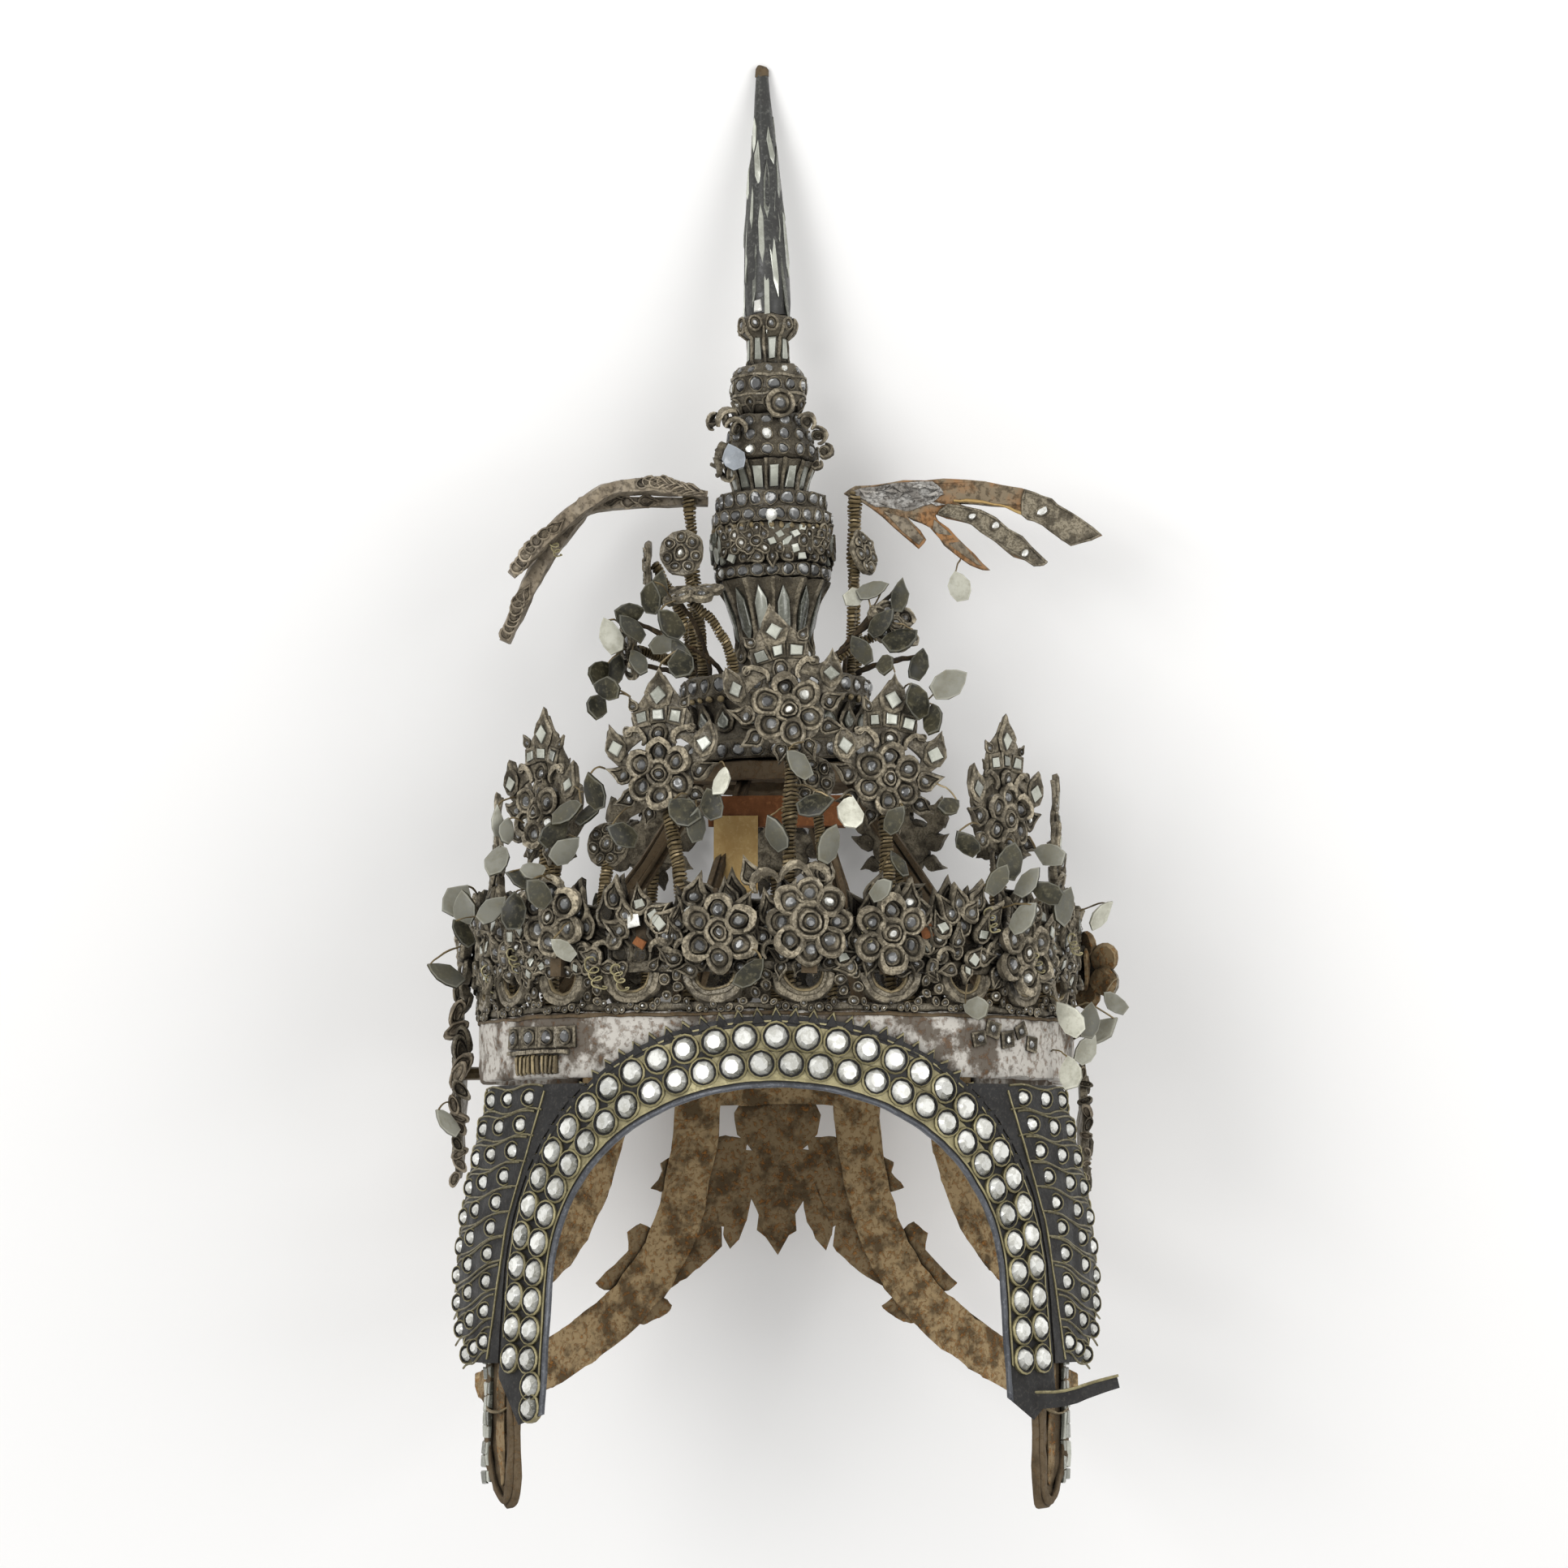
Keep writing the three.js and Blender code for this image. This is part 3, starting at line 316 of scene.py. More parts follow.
def swept(path, section, ups=None, closed=False, taper=None, tone=0.5):
    """A section of (side, up) offsets carried along a path; ups are the up directions on the way."""
    path, section = np.asarray(path, float), np.asarray(section, float)
    tangents = np.roll(path, -1, 0) - np.roll(path, 1, 0) if closed else np.gradient(path, axis=0)
    tangents /= np.linalg.norm(tangents, axis=1)[:, None]
    hint = np.array([0.0, 0.0, 1.0]) if abs(tangents[0][2]) < 0.9 else np.array([0.0, 1.0, 0.0])
    hints = np.broadcast_to(hint if ups is None else np.asarray(ups, float), path.shape)
    square = hints - tangents * (hints * tangents).sum(1)[:, None]
    square /= np.linalg.norm(square, axis=1)[:, None]
    sides = np.cross(tangents, square)
    width = np.ones(len(path)) if taper is None else np.asarray(taper, float)
    offsets = section[None] * width[:, None, None]
    verts = path[:, None] + sides[:, None] * offsets[..., :1] + square[:, None] * offsets[..., 1:]
    rows, columns = len(path), len(section)
    faces = grid_faces(rows, columns, True, True) if closed else capped(rows, columns)
    return Shape(verts.reshape(-1, 3), faces, tone)


def circle(radius, sides=8):
    angles = np.linspace(0, 2 * math.pi, sides, endpoint=False)
    return np.stack([radius * np.cos(angles), radius * np.sin(angles)], 1)


print("a wire of 9 points and 6 sides has", len(capped(9, 6)), "faces")

# %% [markdown]
# A piece gathers shapes and their finishes into one mesh. Old handwork is never true and a worn crown is
# knocked about, so every corner is pushed a little by crossing waves; neighbours move together and nothing
# tears. Each piece leaves a thin cloud of corners to hang the danglers from.

# %% Finished pieces
KNOCK_LENGTHS = (9.0, 7.0, 5.4, 4.2, 3.3, 2.6)
KNOCK_SEED = 5
TABLE_GAP = 0.0002
CLOUD_STEP = 4


def linked(name, data):
    thing = bpy.data.objects.new(name, data)
    bpy.context.scene.collection.objects.link(thing)
    return thing


def faced_outward(mesh):
    """Turns every face of a closed mesh to the outside."""
    work = bmesh.new()
    work.from_mesh(mesh)
    bmesh.ops.recalc_face_normals(work, faces=work.faces)
    work.to_mesh(mesh)
    work.free()


def knocked(verts, amount):
    """Corners pushed about by crossing waves, the longest the strongest."""
    waves = np.random.default_rng(KNOCK_SEED).normal(size=(3, len(KNOCK_LENGTHS), 4))
    off = np.zeros_like(verts)
    for axis in range(3):
        for wave, length in zip(waves[axis], KNOCK_LENGTHS):
            heading = wave[:3] / np.linalg.norm(wave[:3])
            swing = np.sin(verts @ heading * (2 * math.pi / length) + 3 * wave[3])
            off[:, axis] += length / KNOCK_LENGTHS[0] * swing
    return verts + off * amount / 2


class Piece:
    """Shapes with their finishes, in upright millimetres, that become one mesh laid in the frame."""
    made = []

    def __init__(self, name):
        self.name, self.shapes, self.finishes = name, [], []

    def add(self, shape, finish, place=None):
        self.shapes.append(shape.moved(place) if place is not None else shape)
        self.finishes.append(finish)
        return self

    def add_all(self, pairs, place=None):
        for shape, finish in pairs:
            self.add(shape, finish, place)
        return self

    def moved(self, place):
        self.shapes = [shape.moved(place) for shape in self.shapes]
        return self

    def finish(self, slot, *nodes, sharp=34, worn=0.4):
        whole = joined(self.shapes)
        whole.verts = knocked(whole.verts, worn)
        Piece.made.append(whole.verts[::CLOUD_STEP])
        mesh = whole.mesh(self.name)
        used = list(dict.fromkeys(self.finishes))
        for finish in used:
            mesh.materials.append(finish)
        pairs = zip(self.shapes, self.finishes)
        index = np.concatenate([np.full(len(s.faces), used.index(f)) for s, f in pairs])
        mesh.polygons.foreach_set("material_index", index.astype(np.int32))
        mesh.attributes.new("tone", "FLOAT", "FACE").data.foreach_set("value", whole.tone.astype(np.float32))
        faced_outward(mesh)
        mesh.transform(LAY_DOWN)
        for corner in mesh.vertices:
            corner.co.z = max(corner.co.z, TABLE_GAP)
        mesh.shade_smooth()
        mesh.set_sharp_from_angle(angle=math.radians(sharp))
        thing = linked(self.name, mesh)
        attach(thing, "root")
        if nodes:
            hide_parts(*nodes)
        return thing


print("corners are knocked by waves of", KNOCK_LENGTHS, "mm")

# %% [markdown]
# Stones, tiles, petals and leaves are a few shapes put down hundreds of times. Copies in a loop would be
# slow, so a Geometry Nodes tree instances a template on points, turned and sized by attributes that each
# point carries, and the result is read back as a plain shape.

# %% One template on many points
def new_tree(name, inputs):
    tree = bpy.data.node_groups.new(name, "GeometryNodeTree")
    tree.interface.new_socket("Geometry", in_out="OUTPUT", socket_type="NodeSocketGeometry")
    for label, kind in inputs:
        tree.interface.new_socket(label, in_out="INPUT", socket_type="NodeSocket" + kind)
    return tree, tree.nodes.new("NodeGroupInput").outputs


def finished(tree, geometry, material):
    """The end of each tree: instances made real, then the material."""
    real = add_node(tree, "GeometryNodeRealizeInstances", {0: geometry})
    coat = add_node(tree, "GeometryNodeSetMaterial", {"Geometry": real.outputs[0], "Material": material})
    add_node(tree, "NodeGroupOutput", {0: coat.outputs[0]})
    return tree


def carried(tree, name):
    """An attribute that each point carries."""
    kind = "GeometryNodeInputNamedAttribute"
    return add_node(tree, kind, {"Name": name}, data_type="FLOAT_VECTOR").outputs[0]


def make_place_tree():
    inputs = [("Points", "Geometry"), ("Template", "Object"), ("Material", "Material")]
    tree, given = new_tree("place_on_points", inputs)
    template = add_node(tree, "GeometryNodeObjectInfo", {"Object": given["Template"]})
    turn_to = add_node(tree, "FunctionNodeEulerToRotation", {0: carried(tree, "turn")})
    inputs = {"Points": given["Points"], "Instance": template.outputs["Geometry"]}
    inputs.update({"Rotation": turn_to.outputs[0], "Scale": carried(tree, "size")})
    put = add_node(tree, "GeometryNodeInstanceOnPoints", inputs)
    return finished(tree, put.outputs[0], given["Material"])


def evaluated(thing, merge=0.0):
    """The shape an object has once its modifiers have run; the object is then removed."""
    mesh = bpy.data.meshes.new_from_object(thing.evaluated_get(bpy.context.evaluated_depsgraph_get()))
    if merge:
        work = bmesh.new()
        work.from_mesh(mesh)
        bmesh.ops.remove_doubles(work, verts=work.verts, dist=merge)
        work.to_mesh(mesh)
        work.free()
    verts = np.zeros(len(mesh.vertices) * 3)
    mesh.vertices.foreach_get("co", verts)
    shape = Shape(verts, [tuple(p.vertices) for p in mesh.polygons])
    bpy.data.meshes.remove(mesh)
    bpy.data.objects.remove(thing)
    return shape


def run_tree(tree, data, values):
    """The shape that a tree makes from some data; the carrier and its modifier go with it."""
    carrier = linked("carrier", data)
    modifier = carrier.modifiers.new("made", "NODES")
    modifier.node_group = tree
    for item in tree.interface.items_tree:
        if item.in_out == "INPUT" and item.name in values:
            modifier[item.identifier] = values[item.name]
    return evaluated(carrier)


PLACE_TREE = make_place_tree()


def scattered(template, spots, finish):
    """A template put down on spots, each a matrix, a size and a tone."""
    holder = linked("template", template.mesh("template"))
    points = bpy.data.meshes.new("points")
    points.from_pydata([list(place.translation) for place, size, tone in spots], [], [])
    rows = (("turn", [place.to_euler() for place, size, tone in spots]), ("size", [s for p, s, t in spots]))
    for name, values in rows:
        attribute = points.attributes.new(name, "FLOAT_VECTOR", "POINT")
        attribute.data.foreach_set("vector", np.array(values, float).ravel())
    shape = run_tree(PLACE_TREE, points, {"Template": holder, "Material": finish})
    bpy.data.objects.remove(holder)
    tones = np.repeat([tone for place, size, tone in spots], len(template.faces))
    shape.tone = np.clip(tones + np.tile(template.tone, len(spots)) - 0.5, 0, 1)
    return shape


print("nodes that put a template down:", len(PLACE_TREE.nodes))

# %% [markdown]
# Pressed and carved ornaments are outlines with ridges that step in towards the middle. Sculpting each
# would take days, so one function raises any outline by a short table. A boss is a circle, a sprout is a
# circle drawn out to a leaf tip, and a mirror tile is a bevelled square.

# %% Ridged templates
# Tones are painted light: bands that fall into a groove are darker, painted shade, and rims and ridge tops
# lighter, painted highlight.
RIDGES = (  # scale of the outline, height, tone of the band that follows
    (0.86, -0.45, 0.34), (1.00, 0.05, 0.62), (0.88, 0.32, 0.58), (0.71, 0.26, 0.3), (0.61, 0.08, 0.42),
    (0.47, 0.30, 0.52), (0.36, 0.14, 0.3),
)
TRAY = ((0.9, -0.4, 0.35), (1.0, 0.1, 0.64), (0.86, 0.32, 0.56), (0.68, 0.12, 0.3))
SLIP = ((1.0, -0.3, 0.3), (1.0, 0.12, 0.62), (0.82, 0.3, 0.5))
THIN = ((1, -0.06, 0.3), (1, 0.06, 0.6), (0.9, 0.1, 0.5))
UNDERSIDE = 0.3


def relief(outline, rows, cap=0.3):
    """A relief over an outline: rows from the back edge to the middle, then the tone of the middle."""
    outline = np.array(outline, float)
    count = len(outline)
    verts = np.vstack([np.column_stack([outline * scale, np.full(count, z)]) for scale, z, tone in rows])
    tones = np.repeat([tone for scale, z, tone in rows[:-1]], count)
    return Shape(verts, capped(len(rows), count), np.concatenate([tones, [UNDERSIDE, cap]]))


def drawn_out(tip, width):
    """A round outline drawn out to a leaf tip."""
    arc = np.radians(np.linspace(128, 412, 10))
    point = [(width * 0.8, tip * 0.66), (width * 0.2, tip), (-width, tip * 0.6)]
    return np.vstack([np.stack([np.cos(arc), np.sin(arc)], 1), point])


LEAF_LINE = [
    (0, -1), (0.6, -0.7), (0.84, 0), (0.62, 0.55), (0.26, 1.0), (0, 1.5), (-0.26, 1.0), (-0.62, 0.55),
    (-0.84, 0), (-0.6, -0.7),
]
SHIELD_LINE = [
    (0, 1.15), (-0.5, 0.75), (-0.86, 0.2), (-0.8, -0.45), (-0.45, -1), (0.45, -1), (0.8, -0.45),
    (0.86, 0.2), (0.5, 0.75),
]
SQUARE_LINE = [(-1, -1), (1, -1), (1, 1), (-1, 1)]
BOSS = relief(circle(1, 12), RIDGES)
PETAL = relief(circle(1, 14) * (1, 1.08) + (0, 0.06), RIDGES)
SPROUT = relief(drawn_out(2.0, 0.34), RIDGES)
LEAF = relief(LEAF_LINE, TRAY, 0.25)
FRAME = relief(SQUARE_LINE, TRAY, 0.2)
SQUARE = relief(SQUARE_LINE, SLIP, 0.5)
SLIVER_LINE = [(0.1, -1), (0.5, -0.5), (0.34, 0.5), (-0.1, 1), (-0.5, 0.35), (-0.36, -0.6)]
SLIVER = relief(SLIVER_LINE, SLIP, 0.5)
SHIELD = relief(SHIELD_LINE, THIN, 0.5)
TOOTH = relief([(-1, -1), (1, -1), (0, 1)], SLIP, 0.5)
print("faces: boss", len(BOSS.faces), "sprout", len(SPROUT.faces), "tile", len(SQUARE.faces))

# %% [markdown]
# A cut stone has a table, eight facets round it and eight more down to the girdle. Real stones look alive
# because each facet mirrors another part of the room, and tones that run round the facets paint those
# reflections in, with a painted highlight on the facets that face up and to the left. Collars are turned,
# and a scroll is swept along an arc.

# %% Stones, collars and scrolls
GEM_RINGS = ((1.0, -0.25, 0.0), (1.0, 0.0, 0.0), (0.6, 0.42, 0.5))  # radius, height, turn in facets


def gem(tones, table, sides=8):
    """A cut stone: girdle, two rows of crown facets and a table; its facet tones are painted reflections."""
    step = 2 * math.pi / sides
    verts = [(r * math.cos((i + t) * step), r * math.sin((i + t) * step), z)
             for r, z, t in GEM_RINGS for i in range(sides)]
    faces, shades = [tuple(reversed(range(sides))), tuple(range(2 * sides, 3 * sides))], [UNDERSIDE, table]
    for i in range(sides):
        j = (i + 1) % sides
        faces += [(i, j, sides + j, sides + i), (sides + i, sides + j, 2 * sides + i),
                  (sides + j, 2 * sides + j, 2 * sides + i)]
        shades += [UNDERSIDE, tones[i % len(tones)], tones[(i + 1) % len(tones)]]
    return Shape(verts, faces, shades)


def crescent():
    """A half-moon scroll, thick in the middle and thin at its tips."""
    arc = np.radians(np.linspace(-15, 195, 9))
    path = np.stack([np.cos(arc), np.sin(arc), np.zeros(9)], 1)
    fat = 0.25 + 0.75 * np.sin(np.linspace(0.15, math.pi - 0.15, 9))
    section = [(-0.34, -0.3), (0.34, -0.3), (0.3, 0.25), (0.0, 0.4), (-0.3, 0.25)]
    # Painted light: the upper faces of the roll are lighter and its sides darker.
    tones = np.concatenate([np.tile([0.3, 0.4, 0.75, 0.6, 0.3], 8), [0.3, 0.3]])
    return swept(path, section, np.tile([0, 0, 1.0], (9, 1)), taper=fat, tone=tones)


# Painted highlight: the brightest facets face up and to the left, and stones are turned at most about 50
# degrees, so it stays there.
BRIGHT_GEM = gem([0.2, 0.5, 0.8, 1.0, 0.78, 0.45, 0.2, 0.06], 0.62)
DARK_GEM = gem([0.12, 0.1, 0.26, 0.8, 0.34, 0.12, 0.08, 0.16], 0.14)
RING = turned([(0.86, -0.3), (1.04, -0.3), (1.06, 0.06), (0.97, 0.16), (0.87, 0.06)], 14, closed=True)
COLLAR = turned([(0.98, -0.3), (1.24, -0.3), (1.26, 0.06), (1.15, 0.22), (1.0, 0.12)], 12, closed=True)
BEAD = turned([(0.35, -0.5), (0.9, -0.3), (1.0, 0.1), (0.7, 0.55), (0.25, 0.75)], 8)
CRESCENT = crescent()
print("a cut stone has", len(BRIGHT_GEM.faces), "faces, a scroll", len(CRESCENT.faces))

# %% [markdown]
# Most ornaments face outward from the crown's axis at a bearing round the band. They could be turned one
# rotation at a time, but it is easier to think in a face frame, x to the right, y up and z towards the
# viewer. These functions put that frame in place.

# %% Placing ornaments
FACE = Matrix(((1, 0, 0, 0), (0, 0, -1, 0), (0, 1, 0, 0), (0, 0, 0, 1)))


def shift(x=0.0, y=0.0, z=0.0):
    return Matrix.Translation((x, y, z))


def turn(degrees, axis):
    return Matrix.Rotation(math.radians(degrees), 4, axis)


def station(bearing, radius, z, lean=0, roll=0, twist=0):
    """Where a plate's middle is, before the face frame: bearing round the axis, then its own turns."""
    return turn(bearing, "Z") @ shift(0, -radius, z) @ turn(twist, "Z") @ turn(-lean, "X") @ turn(roll, "Y")


def facing(bearing, radius, z, lean=0):
    return station(bearing, radius, z, lean) @ FACE


def flat(x, y, z=0.0, angle=0.0):
    """A spot in a face frame."""
    return shift(x, y, z) @ turn(angle, "Z")


print("a face at bearing 90 looks along", [round(c, 3) for c in facing(90, 1, 0).col[2].xyz])

# %% [markdown]
# A kit gathers ornaments by template and finish, so one run of the node tree puts down all of a kind. Small
# turns and tones come by chance, from one generator with a fixed seed, so the crown is the same each time.
# Most stones have lost their foil and are dark.

# %% Kits of ornaments
CHANCE_SEED = 7
rng = random.Random(CHANCE_SEED)


def shade(low, high):
    return rng.uniform(low, high)


class Kit:
    """Small ornaments gathered by template and finish."""

    def __init__(self):
        self.spots = {}

    def put(self, template, finish, place, size, tone=0.5):
        size = tuple(size) if isinstance(size, (tuple, list)) else (size, size, size)
        self.spots.setdefault((template, finish), []).append((place, size, tone))

    def stone(self, place, radius, bright=0.2):
        """A stone: mostly dark with a painted glint on one facet, now and then bright."""
        if rng.random() < bright:
            self.put(BRIGHT_GEM, GLASS, place @ turn(shade(-50, 50), "Z"), radius, shade(0.4, 0.75))
        else:
            self.put(DARK_GEM, DARK, place @ turn(shade(-40, 40), "Z"), radius, shade(0.45, 0.62))

    def boss(self, place, radius, bright=0.12, template=BOSS, tone=None, finish=None):
        """A ridged boss with a small stone."""
        tone = shade(0.36, 0.62) if tone is None else tone
        self.put(template, finish or LACQUER, place, (radius, radius, radius * 0.9), tone)
        self.stone(place @ shift(0, 0, 0.14 * radius), 0.34 * radius, bright)

    def setting(self, place, radius, bright):
        """A stone in a collar."""
        self.put(COLLAR, LACQUER, place, radius, shade(0.4, 0.65))
        self.stone(place, radius, bright)

    # A mirror tile; its tone, between low and high, is a painted reflection.
    def mirror(self, place, size, low, high, template=SQUARE):
        self.put(template, MIRROR, place, size, shade(low, high))

    def shapes(self):
        return [(scattered(t, spots, finish), finish) for (t, finish), spots in self.spots.items()]


print("chance starts from seed", CHANCE_SEED)

# %% [markdown]
# The headband is a wooden hoop under chalky gesso that has flaked and stained, with dark settings over
# little pillars left on one side and broken tiles on the other. A plain tube would do, but turning its
# section also gives the ledge inside, and a small wave keeps the gesso uneven.

# %% Headband
FLAT_RADIUS = 98.5
BAND_PROFILE = (
    (92.2, 0), (96.4, 0), (97, 0.6), (97, 5), (96.7, 9), (97, 14), (97, 19.4), (96.5, 20), (77.6, 20),
    (77, 19.4), (77, 16.4), (77.4, 16), (92, 16), (92, 8),
)
BEADING = ((96.6, 18.4), (97.4, 18.6), (97.5, 19.2), (97.2, 19.6), (96.6, 19.6))
TILE_RADIUS, STONE_RADIUS, CHIP_RADIUS, PILLAR_RADIUS = 97.2, 97.8, 97.7, 97.1
FRIEZE = dict(arcs=(-100, -91, -82, -73), z=12.8, stone=2.3, ledge_z=8.2, pillar_z=4.2)
SCRAPS = (  # arc, height, size, angle
    (70, 12, 2.6, 10), (76, 15, 3.2, -14), (83, 12, 3.4, 6), (90, 15, 2.8, 24), (96, 11, 3, -8),
)


def wall_spot(arc, z, radius, flare=0.0, depth=0.0, angle=0.0):
    """A face frame on the flared wall at an arc length and a height."""
    lean = math.degrees(math.atan(flare)) if z < 0 else 0
    reach = radius + flare * max(0.0, -z) + depth
    return facing(math.degrees(arc / FLAT_RADIUS), reach, z, lean) @ turn(angle, "Z")


def uneven(angle, z):
    return 1 + 0.0012 * math.sin(5 * angle + z) + 0.0008 * math.sin(17 * angle - 2 * z)


band, kit = Piece("headband_gesso"), Kit()
band.add(turned(BAND_PROFILE, 180, uneven, closed=True), GESSO)
band.add(turned(BEADING, 120, closed=True), OLD_WOOD)
for arc in FRIEZE["arcs"]:
    kit.put(FRAME, LACQUER, wall_spot(arc, FRIEZE["z"], TILE_RADIUS), (4.4, 3.6, 2.4), 0.5)
    kit.setting(wall_spot(arc, FRIEZE["z"], STONE_RADIUS), FRIEZE["stone"], 0.1)
for arc in np.arange(-102, -70, 4.0):
    kit.put(SQUARE, LACQUER, wall_spot(arc, FRIEZE["ledge_z"], TILE_RADIUS), (2.1, 0.6, 4), 0.6)
for arc in np.arange(-98, -76, 2.3):
    spot = wall_spot(arc, FRIEZE["pillar_z"], PILLAR_RADIUS)
    kit.put(SQUARE, GILT, spot, (0.7, 3.2, 3.4), shade(0.2, 0.8))
for arc, z, size, angle in SCRAPS:
    spot = wall_spot(arc, z, TILE_RADIUS, angle=angle)
    kit.put(FRAME, LACQUER, spot, (size, size * 0.8, 2.2), shade(0.3, 0.6))
    kit.stone(wall_spot(arc, z, CHIP_RADIUS), size * 0.4, 0.3)
band.add_all(kit.shapes()).finish("gesso", "headband", worn=0.35)
print("band ornaments:", sum(len(spots) for spots in kit.spots.values()))

# %% [markdown]
# The frontlet frames the face. Its arch is laid out flat, as a tinsmith marks it on sheet, and then bent
# round the brow. Edges drawn one by one would drift apart, so one arch is moved out by an offset for each
# edge, rim and row. Its torn legs end at different heights.

# %% The arch of the frontlet
ARCH = dict(half_width=73.0, rise=58.7, springing=-62.0, leg_end=-92.0)
ARC_STEPS, LEG_STEPS = 241, 30
PLATE_RADIUS, PLATE_FLARE, PLATE_WIDTH = 97.3, 0.085, 21.5
LEG_ENDS = {  # offset from the inner edge, height of the torn end
    "left": ((0, -104), (9, -111), (21.5, -92)),
    "right": ((0, -99), (5, -105), (14, -107), (21.5, -97)),
}


def bent(radius, flare=0.0):
    """A map from flat arc length, height and depth to the flared wall round the band."""
    def bend(v):
        angle = v[:, 0] / FLAT_RADIUS
        reach = radius + flare * np.maximum(0, -v[:, 1]) + v[:, 2]
        return np.stack([reach * np.sin(angle), -reach * np.cos(angle), v[:, 1]], 1)
    return bend


def arch_path(offset, left_end, right_end, count):
    """Points spaced evenly along the arch, moved out by an offset."""
    wide, tall, spring = ARCH["half_width"] + offset, ARCH["rise"] + offset, ARCH["springing"]
    sweep = np.linspace(math.pi, 0, ARC_STEPS)
    dense = np.vstack([
        [(-wide, z) for z in np.linspace(left_end, spring, LEG_STEPS)],
        np.stack([wide * np.cos(sweep), spring + tall * np.sin(sweep)], 1),
        [(wide, z) for z in np.linspace(spring, right_end, LEG_STEPS)],
    ])
    lengths = np.concatenate([[0], np.cumsum(np.linalg.norm(np.diff(dense, axis=0), axis=1))])
    even = np.linspace(0, lengths[-1], count)
    return np.stack([np.interp(even, lengths, dense[:, k]) for k in (0, 1)], 1)


def leg_end(side, offset):
    rows = np.array(LEG_ENDS[side])
    return float(np.interp(offset, rows[:, 0], rows[:, 1]))


def arch_band(section, steps=150, part=(0.0, 1.0)):
    """A closed section of (offset, depth) carried along the arch and its torn legs, or part of it."""
    columns, span = [], slice(int(part[0] * steps), int(part[1] * steps))
    for offset, depth in section:
        line = arch_path(offset, leg_end("left", offset), leg_end("right", offset), steps)[span]
        columns.append(np.column_stack([line, np.full(len(line), depth)]))
    verts = np.stack(columns, 1).reshape(-1, 3)
    return Shape(verts, capped(len(columns[0]), len(section))).mapped(bent(PLATE_RADIUS, PLATE_FLARE))


def plate_spot(arc, z, depth=0.0, angle=0.0):
    return wall_spot(arc, z, PLATE_RADIUS, PLATE_FLARE, depth, angle)


inner_edge = arch_path(0, leg_end("left", 0), leg_end("right", 0), ARC_STEPS)
print("inner edge of the arch:", round(np.linalg.norm(np.diff(inner_edge, axis=0), axis=1).sum()), "mm")

# %% [markdown]
# The frontlet is a black plate with two rows of foiled stones in brass collars over brass bands, a toothed
# upper edge and a strip torn loose at the right leg. Each band is a section carried along the arch, so it
# bends with the brow, and the stones sit on the same arch at even steps.

# %% Frontlet
STONE = 3.65
STONE_ROWS = ((6.8, 32), (15.2, 33))  # offset, stones
LAST_STONES = ((-78.0, -95.6), (-77.8, -102.4))
FRONTLET_SECTION = ((0, 0), (0, 1.2), (1.5, 1.3), (20.3, 1.3), (21.5, 1.1), (21.5, 0), (11, 0))
RIM_SECTION = ((-0.5, 0.5), (-0.5, 1.5), (0, 1.9), (0.6, 1.9), (1.1, 1.5), (0.8, 0.6))
BAND_BACK = 1.1
BRASS_BANDS = (  # inner offset, outer offset, front, part of the arch
    (1.6, 10.6, 1.5, (0.24, 0.74)), (10.8, 18.4, 1.45, (0.33, 0.67)), (1.6, 2.3, 1.6, (0.04, 0.96)),
    (19.6, 20.1, 1.5, (0.04, 0.96)),
)
TOOTH_ROWS = ((21.6, (2.9, 2.7, 1.5), BRASS, 0.6), (21.2, (2.3, 2.1, 1.6), PLATE, 1.1))
TOOTH_STEPS, LOWEST_TOOTH = 59, -34
TORN_STRIP = [(79, -69.5, -100), (90, -64, -99.6), (99, -60.4, -97), (107, -58, -95)]
STRIP_SECTION = ((-0.5, -2.6), (0.5, -2.6), (0.5, 2.6), (-0.5, 2.6))
STRIP_STEPS = 10


def swing_between(a, b, c, d, u):
    """How a smooth line through four points leaves b on its way to c."""
    return (c - a) * u + (2 * a - 5 * b + 4 * c - d) * u * u + (3 * b - a - 3 * c + d) * u**3


def spline(points, count):
    """A smooth line through points."""
    p = np.array(points, float)
    p = np.vstack([2 * p[0] - p[1], p, 2 * p[-1] - p[-2]])
    line = []
    for t in np.linspace(0, len(p) - 3 - 1e-6, count):
        i, u = int(t), t - int(t)
        line.append(p[i + 1] + 0.5 * swing_between(*p[i : i + 4], u))
    return np.array(line)


frontlet, kit = Piece("frontlet_plate"), Kit()
frontlet.add(arch_band(FRONTLET_SECTION), PLATE)
frontlet.add(arch_band(RIM_SECTION), RIM)
for inner, outer, front, part in BRASS_BANDS:
    section = ((inner, BAND_BACK), (inner, front), (outer, front), (outer, BAND_BACK))
    frontlet.add(arch_band(section, part=part), BRASS)
stones = list(LAST_STONES)
for offset, count in STONE_ROWS:
    stones += [tuple(p) for p in arch_path(offset, ARCH["leg_end"], ARCH["leg_end"], 2 * count + 1)[1::2]]
for a, z in stones:
    spot = plate_spot(a, z, 1.6)
    # A collar of black plate round each stone, at the darkest tone: black plate, and painted shade in the gap
    # between the stone and its brass ring.
    kit.put(COLLAR, PLATE, spot, (STONE * 0.98, STONE * 0.98, STONE * 0.8), 0.1)
    kit.put(RING, BRASS, spot, (STONE * 1.22, STONE * 1.22, STONE * 1.4), shade(0.5, 0.85))
    spot = spot @ turn(shade(-45, 45), "Z")
    kit.put(BRIGHT_GEM, GLASS, spot, (STONE, STONE, STONE * 1.1), shade(0.36, 0.74))
